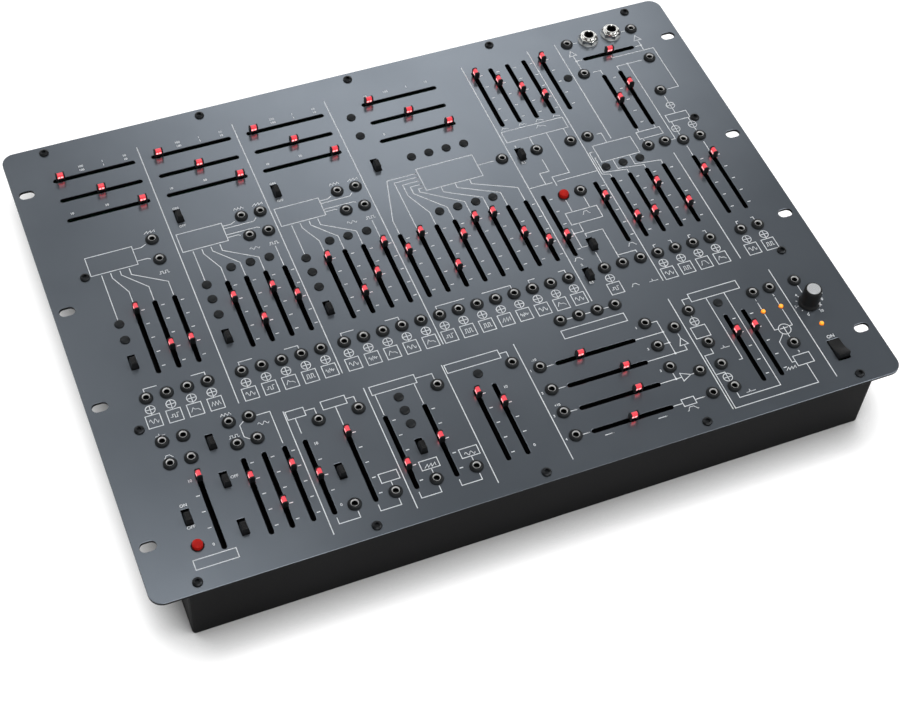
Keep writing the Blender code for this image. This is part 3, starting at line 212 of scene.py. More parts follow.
# Levels of the boards under the panel, and the sockets in the rear wall: column and height of each middle.
MAIN_BOARD_FACE = 8.2
BOARD_FLOOR = 30.9
HOUSING_FLOOR = 32.5
HOUSING_TOP = 39.7
HOUSING_HEIGHT = HOUSING_TOP - HOUSING_FLOOR
HOUSING_HALF = 4.2
RAIL_REACH = 29
RAIL_MIDDLE = 3.0
RAIL_HALF = 1.2
END_BLOCK = (28.9, 32.6)
SOCKET_BODY = (4.4, 5.0, PANEL_LEVEL - HOUSING_FLOOR - 0.3)
SWITCH_BODY = (3.6, 10.8, HOUSING_HEIGHT)
REAR_WALL = 177.1
DATA_SOCKETS = {"left": (144.78, 17.6), "right": (178.56, 17.6)}
SQUARE_SOCKET = (207.52, 13.6)
POWER_INLET = (106.17, 13.6)
DATA_CONTACTS = 5
CONTACT_CIRCLE = 4.0

# The white print on the panel.
INK_SINK = 0.08
INK_RISE = 0.04
SHARPEST_MITRE = 0.4
RULE_WIDTH = 0.62
WIRE_WIDTH = 0.53
ADDER_WIDTH = 0.5
DIAL_WIDTH = 0.4
SYMBOL_WIDTH = 0.36
DOT_RADIUS = 0.8
DOT_RISE = 0.07
# Groups of the print that repeat do so by these steps to the right.
STEPS_OF_TWO = (0, 66.0)
STEPS_OF_THREE = (0, 66.0, 132.0)
OSCILLATOR_STEPS = (0, 59.6, 125.7)
# Long upright rules: column, first row, last row.
RULES = (*((column, 20.5, 241) for column in (86.9, 152.8, 218.9, 320.5, 370.9)),
         (392.1, 20.5, 116.5), (427.1, 142.5, 241),
         *((column, 255.5, 346) for column in (109.7, 160.9, 211.8, 259.9, 367.2, 439.9)))
# Source frames: half the width, first row, last row. A short lead comes down to each, and a symbol is in it.
SOURCE_FRAME = (4.4, 231.8, 240.9)
SOURCE_LEAD = 230.6
SOURCE_SYMBOL_SIZE = (5.6, 3.0)
# All frames: first column, last column, first row, last row.
FRAMES = ((29.8, 60.2, 102.2, 117.6), (89.5, 119.7, 102.2, 117.6), (155.5, 185.8, 102.2, 117.6),
          (255.6, 296.1, 99.5, 119.4), (322.9, 368.5, 87.1, 97.2), (334.4, 357.1, 168.4, 178.7),
          (376.8, 405.3, 119.0, 134.4), (410.5, 428.3, 117.2, 123.7), (436.9, 452.8, 109.1, 115.7),
          (291.9, 335.3, 256.2, 262.6), (164.0, 193.0, 256.3, 262.6), (213.1, 248.6, 256.3, 262.6),
          (380.5, 414.9, 256.3, 262.8), (110.6, 121.8, 256.5, 262.6), (132.8, 148.0, 256.5, 262.6),
          (29.6, 54.9, 335.0, 341.4), (147.4, 158.8, 316.7, 323.1), (172.8, 184.1, 316.7, 323.1),
          (198.2, 209.6, 316.7, 323.1), (370.1, 380.2, 281.5, 290.5), (421.0, 432.4, 322.9, 330.6),
          (339.9, 348.3, 329.0, 334.2),
          *((column - SOURCE_FRAME[0], column + SOURCE_FRAME[0], *SOURCE_FRAME[1:]) for column, _ in SOURCES))
ADDER_RADIUS = 2.95
ADDER_STEPS = 16
SELECTOR_STEPS = 24
ADDERS = (*((column, 227.7) for column, _ in SOURCES),
          (438.5, 122.7), (451.3, 122.7), (444.8, 101.3), (375.1, 277.5), (375.1, 323.4))
# Brackets over groups of sockets: first and last column, then the gap that their title stands in.
BRACKET_ROW = 211.9
BRACKET_FOOT = 214.5
BRACKETS = ((36.2, 74.3, 44.6, 65.9), (95.8, 133.9, 104.6, 125.2), (161.8, 199.8, 170.5, 191.1),
            (225.1, 276.2, 244.7, 256.6), (288.7, 314.1, 293.2, 309.7), (377.6, 390.4, 379.4, 388.6),
            (403.0, 415.7, 404.8, 413.9), (438.6, 451.3, 440.4, 449.5))
# Loops under pairs of sockets: first and last column.
LOOPS = ((115.0, 128.0), (140.4, 153.2), (165.7, 178.3), (191.0, 203.9))
LOOP_ROWS = (335.9, 340.4)
FEED_ROWS = (278.2, 295.9, 313.8, 331.7)
# Straight wires up the panel: column, first row, last row.
UPRIGHT_WIRES = (
    (36.2, 118.9, 156.6), (95.8, 118.9, 144.4), (161.9, 118.9, 144.4),
    (339.3, 97.2, 104.4), (364.8, 97.2, 104.4), (400.3, 35.1, 49.0), (451.1, 35.1, 45.0),
    (412.9, 114.3, 117.2), (425.6, 114.3, 117.2), (412.9, 123.7, 126.0), (444.8, 91.8, 98.3),
    (444.8, 104.3, 109.1),
    *((column, *rows) for column in (438.5, 451.3)
      for rows in ((115.7, 119.7), (125.7, 128.9), (139.6, 148.5))),
    (339.6, 157.5, 168.4), (352.2, 158.8, 168.4), (339.6, 204.9, 213.9),
    (115.0, 262.6, 274.2), (140.4, 262.6, 277.0), (165.7, 262.6, 278.4), (191.0, 262.6, 278.4),
    *((column, 323.1, 326.4) for column in (153.0, 178.4, 203.9)),
    (360.8, 286.2, 282.6), (344.2, 313.8, 309.2), (375.1, 272.8, 274.5), (375.1, 280.5, 281.5),
    (375.1, 290.5, 291.2), (375.1, 326.4, 326.9), (420.2, 277.5, 282.8), (432.9, 277.5, 282.8),
    (426.7, 299.9, 308.8), (451.5, 273.2, 279.6),
)
# Straight wires across the panel: row, first column, last column.
LEVEL_WIRES = (
    (109.6, 296.1, 307.9), (140.4, 320.5, 337.5), (140.4, 341.3, 370.9), (23.7, 405.5, 408.5),
    (23.7, 443.5, 446.2), (40.7, 400.3, 404.6), (40.7, 446.6, 451.1), (248.8, 299.3, 303.2),
    (248.8, 311.9, 315.7), (248.8, 324.6, 328.4), (278.2, 333.4, 352.5), (287.1, 348.9, 352.5),
    (313.8, 333.4, 348.1), (313.8, 354.3, 356.6), (331.7, 333.4, 339.9), (331.7, 348.3, 354.6),
    (336.8, 285.2, 291.0), (336.8, 320.8, 326.9), (301.2, 423.9, 429.4),
    *((row, 272.4, 276.6) for row in FEED_ROWS),
)
# Wires that three oscillators share, wires that the second and third share, and all the other bent ones.
OSCILLATOR_WIRES = (
    ((42.0, 118.9), (42.0, 123.1), (48.8, 137.1), (48.8, 148.6)),
    ((48.0, 118.9), (48.0, 122.6), (61.5, 137.2), (61.5, 148.6)),
    ((54.0, 118.9), (54.0, 124.2), (74.1, 137.1), (74.1, 148.6)),
)
PAIR_WIRES = (
    ((119.7, 105.0), (125.6, 105.0), (128.4, 103.4)), ((119.7, 107.4), (140.0, 107.4), (142.4, 105.1)),
    ((119.7, 112.8), (140.3, 112.8), (142.1, 113.8)), ((119.7, 115.1), (127.0, 115.1), (128.4, 116.0)),
    ((146.5, 131.8), (146.5, 148.6)),
)
BENT_WIRES = (
    ((60.2, 105.0), (65.9, 105.0), (69.2, 103.3)), ((60.2, 114.9), (67.1, 114.9), (68.9, 116.0)),
    ((254.6, 103.1), (233.7, 103.1), (225.1, 136.7), (225.1, 148.5)),
    ((254.6, 106.4), (237.6, 106.4), (237.6, 148.5)),
    ((254.6, 109.8), (242.3, 109.8), (242.3, 119.7), (250.5, 137.9), (250.5, 148.5)),
    ((254.6, 113.1), (246.5, 113.1), (246.5, 119.3), (263.2, 137.5), (263.2, 148.5)),
    ((254.6, 116.5), (251.0, 116.5), (251.0, 119.3), (275.8, 136.7), (275.8, 148.5)),
    ((265.8, 119.4), (265.8, 124.2), (288.5, 137.1), (288.5, 148.5)),
    ((275.8, 119.4), (275.8, 123.6), (301.3, 137.1), (301.3, 148.5)),
    ((286.1, 119.4), (286.1, 123.6), (313.9, 136.8), (313.9, 148.5)),
    ((352.1, 97.2), (352.1, 135.7), (339.3, 135.7), (339.3, 144.0)),
    ((339.5, 118.9), (339.5, 130.3), (332.7, 130.3), (332.7, 140.4)),
    ((375.9, 124.1), (372.3, 124.1), (372.3, 144.4), (377.6, 146.2), (377.6, 148.5)),
    ((375.9, 129.5), (373.9, 129.5), (373.9, 143.1), (390.3, 145.8), (390.3, 148.5)),
    ((384.8, 134.4), (384.8, 143.1), (403.0, 145.8), (403.0, 148.5)),
    ((397.5, 134.4), (397.5, 143.1), (415.7, 145.6), (415.7, 148.5)),
    ((384.2, 109.7), (387.7, 109.7), (387.7, 119.0)),
    ((426.1, 43.6), (426.1, 45.7), (458.5, 45.7), (458.5, 86.4), (449.9, 86.4)),
    ((407.1, 54.5), (412.9, 54.5), (412.9, 58.3)), ((445.2, 54.5), (425.6, 54.5), (425.6, 58.3)),
    ((433.9, 54.5), (433.9, 131.0), (431.1, 131.0)),
    ((339.6, 178.7), (339.6, 186.0), (332.8, 186.0)), ((332.8, 181.7), (332.8, 198.3), (336.9, 198.3)),
    ((339.6, 191.2), (339.6, 188.3), (352.2, 188.3), (352.2, 213.9)),
    ((352.2, 211.9), (365.1, 211.9), (365.1, 213.9)), ((94.0, 252.7), (102.4, 252.7), (102.4, 277.0)),
    ((85.4, 254.2), (82.4, 256.6), (82.4, 265.0), (85.6, 267.8)),
    ((121.8, 259.4), (128.0, 259.4), (128.0, 263.8)), ((148.0, 259.4), (153.2, 259.4), (153.2, 263.8)),
    ((193.0, 259.4), (203.9, 259.4), (203.9, 263.8)), ((248.6, 259.4), (253.4, 259.4), (253.4, 263.6)),
    ((348.6, 269.2), (352.5, 269.2), (352.5, 295.9)), ((333.4, 295.9), (360.8, 295.9), (360.8, 291.7)),
    ((380.5, 259.3), (375.1, 259.3), (375.1, 263.7)),
    ((375.1, 300.0), (375.1, 304.0), (368.9, 304.0), (368.9, 345.9), (426.8, 345.9), (426.8, 330.6)),
    ((368.9, 319.3), (375.1, 319.3), (375.1, 320.4)),
    ((375.1, 335.6), (375.1, 339.7), (403.5, 339.7), (403.5, 262.8)),
    ((390.5, 262.8), (390.5, 313.8), (388.0, 313.8)), ((420.2, 287.4), (420.2, 300.8), (422.8, 300.8)),
    ((432.9, 287.4), (432.9, 300.8), (430.5, 300.8)),
    ((423.6, 305.2), (418.6, 310.2), (418.6, 326.8), (421.0, 326.8)),
)
SELECTOR = (426.7, 302.1, 4.0)
WIRE_DOTS = ((400.3, 40.7), (451.1, 40.7), (433.9, 54.5), (332.8, 186.0), (352.5, 278.2), (352.5, 287.1),
             (352.5, 295.9), (344.2, 313.8))
# Amplifier triangles by their corners, and the points of arrow heads, which all point right.
AMPLIFIERS = (((397.6, 35.1), (400.3, 30.3), (403.0, 35.1)), ((448.4, 35.1), (451.1, 30.3), (453.8, 35.1)),
              ((357.9, 291.7), (360.8, 286.2), (363.7, 291.7)),
              ((348.1, 310.7), (354.3, 313.8), (348.1, 316.9)))
ARROWS = (*grid((255.2,), (103.1, 106.4, 109.8, 113.1, 116.5)), *grid((277.6,), FEED_ROWS), (355.3, 331.7),
          (376.3, 124.1), (376.3, 129.5), (291.4, 336.8), (327.3, 336.8))
ARROW_LENGTH = 1.76
ARROW_HALF = 0.55
# Signal symbols: kind, column, row, width, height.
SYMBOLS = (("saw", 73.9, 94.2, 7.0, 1.8), ("pulse", 73.9, 129.0, 6.6, 2.0),
           *((kind, column + step, *rest) for step in STEPS_OF_TWO for kind, column, *rest in (
               ("triangle", 133.7, 93.9, 6.6, 1.8), ("saw", 146.4, 94.2, 7.0, 1.8),
               ("sine", 133.7, 129.0, 6.6, 1.9), ("pulse", 146.4, 129.0, 6.6, 2.0))),
           *(("envelope", column, 84.6, 5.4, 1.9) for column in (326.6, 339.6, 352.3, 364.9)),
           ("envelope", 351.0, 90.0, 7.0, 2.6), ("swell", 348.0, 171.6, 5.6, 2.4),
           ("swell", 326.6, 206.4, 6.2, 2.2), ("swell", 365.0, 206.4, 6.2, 2.2),
           ("swell", 352.3, 238.0, 5.6, 1.8), ("spike", 365.1, 238.2, 6.2, 1.6),
           ("spike", 36.4, 246.8, 6.0, 1.5), ("swell", 36.8, 263.2, 5.6, 1.8),
           ("triangle", 76.9, 246.1, 6.6, 1.8), ("pulse", 76.9, 262.7, 6.6, 1.8),
           ("sine", 96.2, 259.3, 7.0, 2.0), ("swell", 344.1, 336.8, 7.6, 2.4),
           ("saw", 415.7, 330.5, 6.8, 2.0), ("spike", 384.2, 301.4, 6.4, 1.8),
           ("spike", 384.0, 336.8, 6.4, 1.8), ("saw", 178.4, 320.9, 7.0, 2.2),
           ("sine", 203.9, 320.9, 6.6, 2.4))
# Each kind of symbol as a line in a box one wide and one high, from its lower left corner.
SYMBOL_LINES = {
    "saw": ((0, 0), (0.33, 1), (0.33, 0), (0.66, 1), (0.66, 0), (1, 1), (1, 0)),
    "pulse": ((0, 0), (0.15, 0), (0.15, 1), (0.38, 1), (0.38, 0), (0.62, 0), (0.62, 1), (0.85, 1), (0.85, 0),
              (1, 0)),
    "triangle": ((0, 0), (0.17, 1), (0.34, 0), (0.5, 1), (0.67, 0), (0.84, 1), (1, 0)),
    "sine": tuple((step / 16, 0.5 + 0.5 * math.sin(FULL_TURN * step / 8)) for step in range(17)),
    "envelope": ((0, 0), (0.28, 1), (0.45, 0.55), (0.78, 0.5), (1, 0)),
    "swell": ((0, 0), (0.1, 0), (0.28, 1), (0.66, 1), (0.9, 0), (1, 0)),
    "spike": ((0, 0), (0.34, 0), (0.4, 1), (0.46, 0), (1, 0)),
    "steps": ((0, 0.2), (0.25, 0.2), (0.25, 0.8), (0.5, 0.8), (0.5, 0), (0.75, 0), (0.75, 1), (1, 1)),
    "noise": tuple((step / 10, up) for step, up in enumerate((0.5, 0.9, 0.1, 0.7, 0, 1, 0.3, 0.8, 0.2, 0.6,
                                                              0.5))),
}
# The dial round the knob: numbers with their angles, and ticks.
DIAL_NUMBERS = (("0", 240), ("2", 180), ("4", 120), ("6", 60), ("8", 0), ("10", 300))
DIAL_NUMBER_RADIUS = 9.6
DIAL_TICK_ANGLES = tuple(240 - 30 * step for step in range(11))
DIAL_TICKS = (7.5, 8.5)


def round_knob(angle, reach):
    """A place on the panel at this angle in degrees and this far from the knob's middle."""
    angle = math.radians(angle)
    return KNOB[0] + reach * math.cos(angle), KNOB[1] - reach * math.sin(angle)


# Numbers and ON/OFF by the height of their letters: words, column, row.
WORDS = {
    1.6: (("1", 420.2, 275.4), ("2", 432.9, 275.4), ("3", 426.8, 320.6)),
    1.7: (*((text, column + step, row) for step in STEPS_OF_THREE for text, column, row in (
              ("10", 32.4, 28.2), ("100", 47.6, 28.2), ("1", 62.3, 28.2), ("10", 77.2, 28.2),
              ("100", 47.6, 24.9), ("1", 62.3, 24.9), ("10", 77.2, 24.9), ("10", 32.1, 63.1),
              ("50", 55.1, 63.1), ("90", 78.4, 63.1))),
          ("10", 246.9, 25.3), ("100", 261.7, 25.3), ("1", 277.1, 25.3), ("10", 291.5, 25.3),
          ("0", 247.0, 62.7), ("10", 291.5, 62.7), ("1", 337.8, 269.9), ("2", 337.8, 287.4),
          ("3", 337.9, 305.1), *((str(number + 1), 262.0, row) for number, row in enumerate(FEED_ROWS)),
          ("-10", 267.0, 271.2), ("+10", 267.0, 307.0)),
    1.8: (("2", 326.8, 211.8), ("0.5", 326.7, 227.1), ("2", 327.0, 102.4), ("0.5", 326.6, 117.7),
          *((text, column, row) for column in (95.7, 161.8) for text, row in (("ON", 80.6), ("OFF", 96.3)))),
    1.9: (("10", 43.4, 283.8), ("0", 43.8, 328.7), ("10", 120.7, 283.8), ("0", 120.4, 328.7),
          ("10", 242.7, 283.8), ("0", 242.4, 328.7), ("OFF", 68.6, 289.4),
          *((text, *round_knob(angle, DIAL_NUMBER_RADIUS)) for text, angle in DIAL_NUMBERS)),
    2.0: (("ON", 35.1, 298.4), ("OFF", 35.1, 313.8)),
    2.4: (("ON", 451.5, 317.1),),
}
# The size of a font's body for letters one high, and what is added round their outlines.
LETTER_SHARE = 1.42
LETTER_SWELL = 0.06

# The studio. Lamps: place in metres, diameter, power. Bright patches of the sky: middle, the cosines between
# which each grows, and its level.
STUDIO_LAMPS = {"front_lamp": ((-0.1, -0.9, 1.9), 1.2, 12), "side_lamp": ((1.3, -0.3, 1.7), 1.1, 14),
                "back_lamp": ((-0.8, 1.3, 1.7), 1.2, 7)}
BACK_PATCH = ((0.286, 0.71, 0.643), (0.968, 0.999), 2.35)
SIDE_PATCH = ((0.05, 0.42, 0.906), (0.991, 1.0), 2.9)
# The sky is bright at the horizon and dim above: sines of the two heights, and the level at each.
HORIZON = ((0.12, 0.5), (1.0, 0.12))
# The floor: half its length and its level in metres, how white it is, and the reach in millimetres and the
# hardness of the painted shadow where it meets the case, where ambient occlusion dims its glow.
FLOOR_HALF = 9.0
FLOOR_LEVEL = -0.0003
FLOOR_GLOW = 0.85
SHADOW_REACH = 28
SHADOW_HARDNESS = 3.8
# The photograph's own view, solved from the panel's corners.
CAMERA_PLACE = (-0.30771, -0.65444, 0.9185)
CAMERA_RIGHT = Vector((0.92625, -0.37287, 0.05493))
CAMERA_UP = Vector((0.26938, 0.75687, 0.59547))
CAMERA_LENS = 70.636
CAMERA_SENSOR = 36


def at(column, row, height=PANEL_FACE):
    """A place on the panel, in metres in the frame of the case."""
    return Vector((column - PANEL_WIDTH / 2, PANEL_DEPTH / 2 - row, height)) * MM


def unturned(places, height=PANEL_FACE):
    """Places for copies of a shape that aren't turned."""
    return [(*at(*place, height), 0) for place in places]


def placed(name, data):
    """A new object in the scene."""
    made = bpy.data.objects.new(name, data)
    bpy.context.scene.collection.objects.link(made)
    return made


def evaluated(holder):
    """The finished mesh of an object that was needed only to make it."""
    bpy.context.view_layer.update()
    mesh = bpy.data.meshes.new_from_object(holder.evaluated_get(bpy.context.evaluated_depsgraph_get()))
    bpy.data.objects.remove(holder)
    return mesh


def own(name, mesh, *finishes):
    """A finished piece at the origin, with its materials."""
    piece = placed(name, mesh)
    mesh.name = name
    for finish in finishes:
        mesh.materials.append(finish)
    return piece


def keep(piece, body, slot, *nodes):
    """Gives the piece its body and hides the CAD nodes it stands for. The slot is not used."""
    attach(piece, body)
    if nodes:
        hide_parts(*nodes)
    return piece


def to_mesh(work, name, crease=CREASE):
    """Turns edited geometry into a mesh with smooth faces and sharp creases."""
    bmesh.ops.remove_doubles(work, verts=work.verts, dist=0.0005 * MM)
    bmesh.ops.recalc_face_normals(work, faces=work.faces)
    mesh = bpy.data.meshes.new(name)
    work.to_mesh(mesh)
    work.free()
    mesh.shade_smooth()
    mesh.set_sharp_from_angle(angle=crease)
    return mesh


def node_place(name):
    """A CAD node's middle at the panel's face in metres, and its foot and top over it in millimetres."""
    low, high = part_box(name)
    middle = (low + high) / 2
    middle.z = PANEL_FACE * MM
    return middle, low.z / MM - PANEL_FACE, high.z / MM - PANEL_FACE


def dress(name, ending, work, place, slot, *finishes, body=None, turn=0):
    """A piece that stands for one CAD node and rides on its body, set from the origin to its place."""
    mesh = to_mesh(work, name)
    mesh.transform(Matrix.Translation(place) @ Matrix.Rotation(turn, 4, "Z"))
    keep(own(name + ending, mesh, *finishes), body or name, slot, name)


def block(work, low, high, chamfer, finish=0):
    """A box with chamfered edges; corners in millimetres."""
    low, high = Vector(low) * MM, Vector(high) * MM
    place = Matrix.Translation((low + high) / 2) @ Matrix.Diagonal((*(high - low), 1))
    made = bmesh.ops.create_cube(work, size=1, matrix=place)["verts"]
    edges = list({edge for vert in made for edge in vert.link_edges})
    for face in {face for vert in made for face in vert.link_faces}:
        face.material_index = finish
    if chamfer:
        bmesh.ops.bevel(work, geom=edges, offset=chamfer * MM, segments=2, profile=0.6, affect="EDGES",
                        material=-1)


def turned(work, profile, sides, place=(0, 0, 0), rule=None, closed=False, finish=0):
    """A shape turned on the lathe from (radius, height) pairs in millimetres. The rule may shape a ring."""
    rings = []
    for radius, height in profile:
        ring = []
        for step in range(sides if radius else 1):
            angle = FULL_TURN * step / sides
            reach = rule(radius, height, angle) if rule and radius else radius
            spot = Vector((math.cos(angle) * reach, math.sin(angle) * reach, height))
            ring.append(work.verts.new((Vector(place) + spot) * MM))
        rings.append(ring)
    for under, over in zip(rings, rings[1:] + (rings[:1] if closed else [])):
        for step in range(sides):
            after = (step + 1) % sides
            corners = [under[step % len(under)], under[after % len(under)],
                       over[after % len(over)], over[step % len(over)]]
            corners = [spot for index, spot in enumerate(corners) if spot not in corners[:index]]
            if len(corners) > 2:
                work.faces.new(corners).material_index = finish


def skin(work, rings, closed=False, finish=0):
    """A skin over rings of places in metres, shut at both ends unless the last ring meets the first."""
    rings = [[work.verts.new(spot) for spot in ring] for ring in rings]
    faces = [] if closed else [work.faces.new(rings[0]), work.faces.new(rings[-1][::-1])]
    for one, two in zip(rings, rings[1:] + (rings[:1] if closed else [])):
        for step in range(len(one)):
            after = (step + 1) % len(one)
            faces.append(work.faces.new((one[step], one[after], two[after], two[step])))
    for face in faces:
        face.material_index = finish


def ring_points(column, row, radius, steps=HOLE_STEPS):
    """Points round a circle on the panel."""
    angles = [FULL_TURN * step / steps for step in range(steps)]
    return [(column + radius * math.cos(angle), row + radius * math.sin(angle)) for angle in angles]


def slot_points(column, row, length, width, upright):
    """Points round a slot with round ends."""
    radius = width / 2
    points = []
    for side in (1, -1):
        for step in range(SLOT_END_STEPS + 1):
            angle = math.pi * (step / SLOT_END_STEPS - 0.5)
            along = side * (length / 2 - radius + radius * math.cos(angle))
            across = side * radius * math.sin(angle)
            points.append((column + across, row + along) if upright else (column + along, row + across))
    return points


def frame_points(column, row, width, height, corner=0.4, steps=3):
    """Points round a rectangle with small round corners."""
    points = []
    for side_x, side_y, start in ((1, 1, 0), (-1, 1, 0.25), (-1, -1, 0.5), (1, -1, 0.75)):
        for step in range(steps + 1):
            angle = FULL_TURN * (start + 0.25 * step / steps)
            points.append((column + side_x * (width / 2 - corner) + corner * math.cos(angle),
                           row + side_y * (height / 2 - corner) + corner * math.sin(angle)))
    return points


def cut_plate(name, loops, low, high, edge):
    """A plate cut from one outline and its holes, with broken edges, as one mesh."""
    curve = bpy.data.curves.new(name, "CURVE")
    curve.dimensions = "2D"
    curve.fill_mode = "BOTH"
    curve.extrude = ((high - low) / 2 - edge) * MM
    curve.bevel_depth = edge * MM
    curve.bevel_resolution = 1
    curve.offset = -edge * MM
    for loop in loops:
        spline = curve.splines.new("POLY")
        spline.points.add(len(loop) - 1)
        for point, (column, row) in zip(spline.points, loop):
            point.co = (*at(column, row, 0), 1)
        spline.use_cyclic_u = True
    mesh = evaluated(placed(name, curve))
    mesh.transform(Matrix.Translation((0, 0, (low + high) / 2 * MM)))
    work = bmesh.new()
    work.from_mesh(mesh)
    bmesh.ops.dissolve_degenerate(work, dist=0.0001 * MM, edges=work.edges)
    return to_mesh(work, name, PLATE_CREASE)


def ribbon(work, points, width, closed=False):
    """A raised line of ink through points on the panel, mitred at its corners."""
    spots = [Vector((column, -row)) for column, row in points]
    count = len(spots)
    rings = []
    for index, spot in enumerate(spots):
        before = spots[index - 1] if closed or index else spot
        after = spots[(index + 1) % count] if closed or index < count - 1 else spot
        ways = [way.normalized() for way in (spot - before, after - spot) if way.length]
        way = (ways[0] + ways[-1]).normalized()
        across = Vector((-way.y, way.x))
        across *= width / 2 / max(across.dot(Vector((-ways[0].y, ways[0].x))), SHARPEST_MITRE)
        rings.append([at(side.x, -side.y, PANEL_FACE + rise) for side, rise in (
            (spot + across, -INK_SINK), (spot + across, INK_RISE),
            (spot - across, INK_RISE), (spot - across, -INK_SINK))])
    skin(work, rings, closed)


def pad_of_ink(work, points, rise=INK_RISE):
    """A filled patch of ink."""
    skin(work, [[at(column, row, PANEL_FACE + up) for column, row in points] for up in (-INK_SINK, rise)])


def symbol(work, kind, column, row, width, height):
    """Draws one signal symbol on the panel."""
    ribbon(work, [(column + (across - 0.5) * width, row - (up - 0.5) * height)
                  for across, up in SYMBOL_LINES[kind]], SYMBOL_WIDTH)


def put(tree, kind, settings=None, values=None, links=None):
    """Adds a node with its settings, the values of its inputs, and links into it."""
    made = tree.nodes.new(kind)
    for name, value in (settings or {}).items():
        setattr(made, name, value)
    for name, value in (values or {}).items():
        made.inputs[name].default_value = value
    for name, source in (links or {}).items():
        tree.links.new(source, made.inputs[name])
    return made


def spread_tree():
    """The tree that sets a copy of a shape on every point, turned by the point's own turn."""
    tree = bpy.data.node_groups.new("spread shape", "GeometryNodeTree")
    tree.interface.new_socket("Places", in_out="INPUT", socket_type="NodeSocketGeometry")
    shape = tree.interface.new_socket("Shape", in_out="INPUT", socket_type="NodeSocketObject")
    finish = tree.interface.new_socket("Finish", in_out="INPUT", socket_type="NodeSocketMaterial")
    tree.interface.new_socket("Copies", in_out="OUTPUT", socket_type="NodeSocketGeometry")
    given = put(tree, "NodeGroupInput")
    master = put(tree, "GeometryNodeObjectInfo", links={"Object": given.outputs["Shape"]})
    turn = put(tree, "GeometryNodeInputNamedAttribute", {"data_type": "FLOAT"}, {"Name": "turn"})
    angles = put(tree, "ShaderNodeCombineXYZ", links={"Z": turn.outputs["Attribute"]})
    copies = put(tree, "GeometryNodeInstanceOnPoints", links={
        "Points": given.outputs["Places"], "Instance": master.outputs["Geometry"],
        "Rotation": angles.outputs["Vector"]})
    real = put(tree, "GeometryNodeRealizeInstances", links={"Geometry": copies.outputs["Instances"]})
    coated = put(tree, "GeometryNodeSetMaterial", links={
        "Geometry": real.outputs["Geometry"], "Material": given.outputs["Finish"]})
    put(tree, "NodeGroupOutput", links={"Copies": coated.outputs["Geometry"]})
    return tree, {"Shape": shape.identifier, "Finish": finish.identifier}


SPREAD, SPREAD_INPUTS = spread_tree()


def spread(name, work, places, finish, slot):
    """Copies of one shape at many places (x, y, z in metres, turn in radians), as one fixed piece."""
    points = bpy.data.meshes.new(name)
    points.from_pydata([place[:3] for place in places], [], [])
    turns = points.attributes.new("turn", "FLOAT", "POINT")
    for index, place in enumerate(places):
        turns.data[index].value = place[3]
    carrier = placed(name, points)
    master = placed(name + "_shape", to_mesh(work, name + "_shape"))
    modifier = carrier.modifiers.new("spread", "NODES")
    modifier.node_group = SPREAD
    modifier[SPREAD_INPUTS["Shape"]] = master
    modifier[SPREAD_INPUTS["Finish"]] = finish
    mesh = evaluated(carrier)
    bpy.data.objects.remove(master)
    if "turn" in mesh.attributes:
        mesh.attributes.remove(mesh.attributes["turn"])
    keep(own(name, mesh), "chassis", slot)


def spread_turned(name, profile, sides, places, finish, slot, **how):
    """Copies of a shape turned on the lathe."""
    work = bmesh.new()
    turned(work, profile, sides, **how)
    spread(name, work, places, finish, slot)


def linear(code):
    """An sRGB hex colour as the linear numbers that a shader takes."""
    parts = [int(code[start:start + 2], 16) / 255 for start in (1, 3, 5)]
    parts = [part / 12.92 if part <= 0.04045 else ((part + 0.055) / 1.055) ** 2.4 for part in parts]
    return (*parts, 1.0)


def new_finish(name, **settings):
    """A material with one Principled shader; the settings are that shader's own values."""
    finish = bpy.data.materials.new(name)
    finish.use_nodes = True
    shader = finish.node_tree.nodes["Principled BSDF"]
    for label, value in settings.items():
        shader.inputs[label.replace("_", " ")].default_value = value
    return finish, finish.node_tree, shader


def feed(tree, shader, **sources):
    """Links what varies over the surface into the shader."""
    for label, source in sources.items():
        tree.links.new(source, shader.inputs[label.replace("_", " ")])


def own_place(tree):
    """Where a point of the surface is, in the object's own frame."""
    return put(tree, "ShaderNodeTexCoord").outputs["Object"]


def noise(tree, here, size, detail):
    """Cloudy noise with patches of this size in millimetres."""
    return put(tree, "ShaderNodeTexNoise", values={"Scale": 1 / (size * MM), "Detail": detail},
               links={"Vector": here}).outputs["Fac"]


def ramp(tree, source, codes, stops=(0.0, 1.0)):
    """A drift between two tones."""
    tone = put(tree, "ShaderNodeValToRGB", links={"Fac": source})
    for element, stop, code in zip(tone.color_ramp.elements, stops, codes):
        element.position = stop
        element.color = linear(code)
    return tone


def climb(tree, here, low, high):
    """From 0 to 1 between two heights in millimetres."""
    split = put(tree, "ShaderNodeSeparateXYZ", links={"Vector": here})
    return put(tree, "ShaderNodeMapRange", values={"From Min": low * MM, "From Max": high * MM},
               links={"Value": split.outputs["Z"]}).outputs["Result"]


def relief(tree, source, strength, height):
    """The surface's tilt where it rises by this height in millimetres."""
    return put(tree, "ShaderNodeBump", values={"Strength": strength, "Distance": height * MM},
               links={"Height": source}).outputs["Normal"]


def maths(tree, operation, first, second):
    """One sum; its second term is a number or another source."""
    known = isinstance(second, (int, float))
    return put(tree, "ShaderNodeMath", {"operation": operation}, {1: second} if known else {},
               {0: first} if known else {0: first, 1: second}).outputs["Value"]


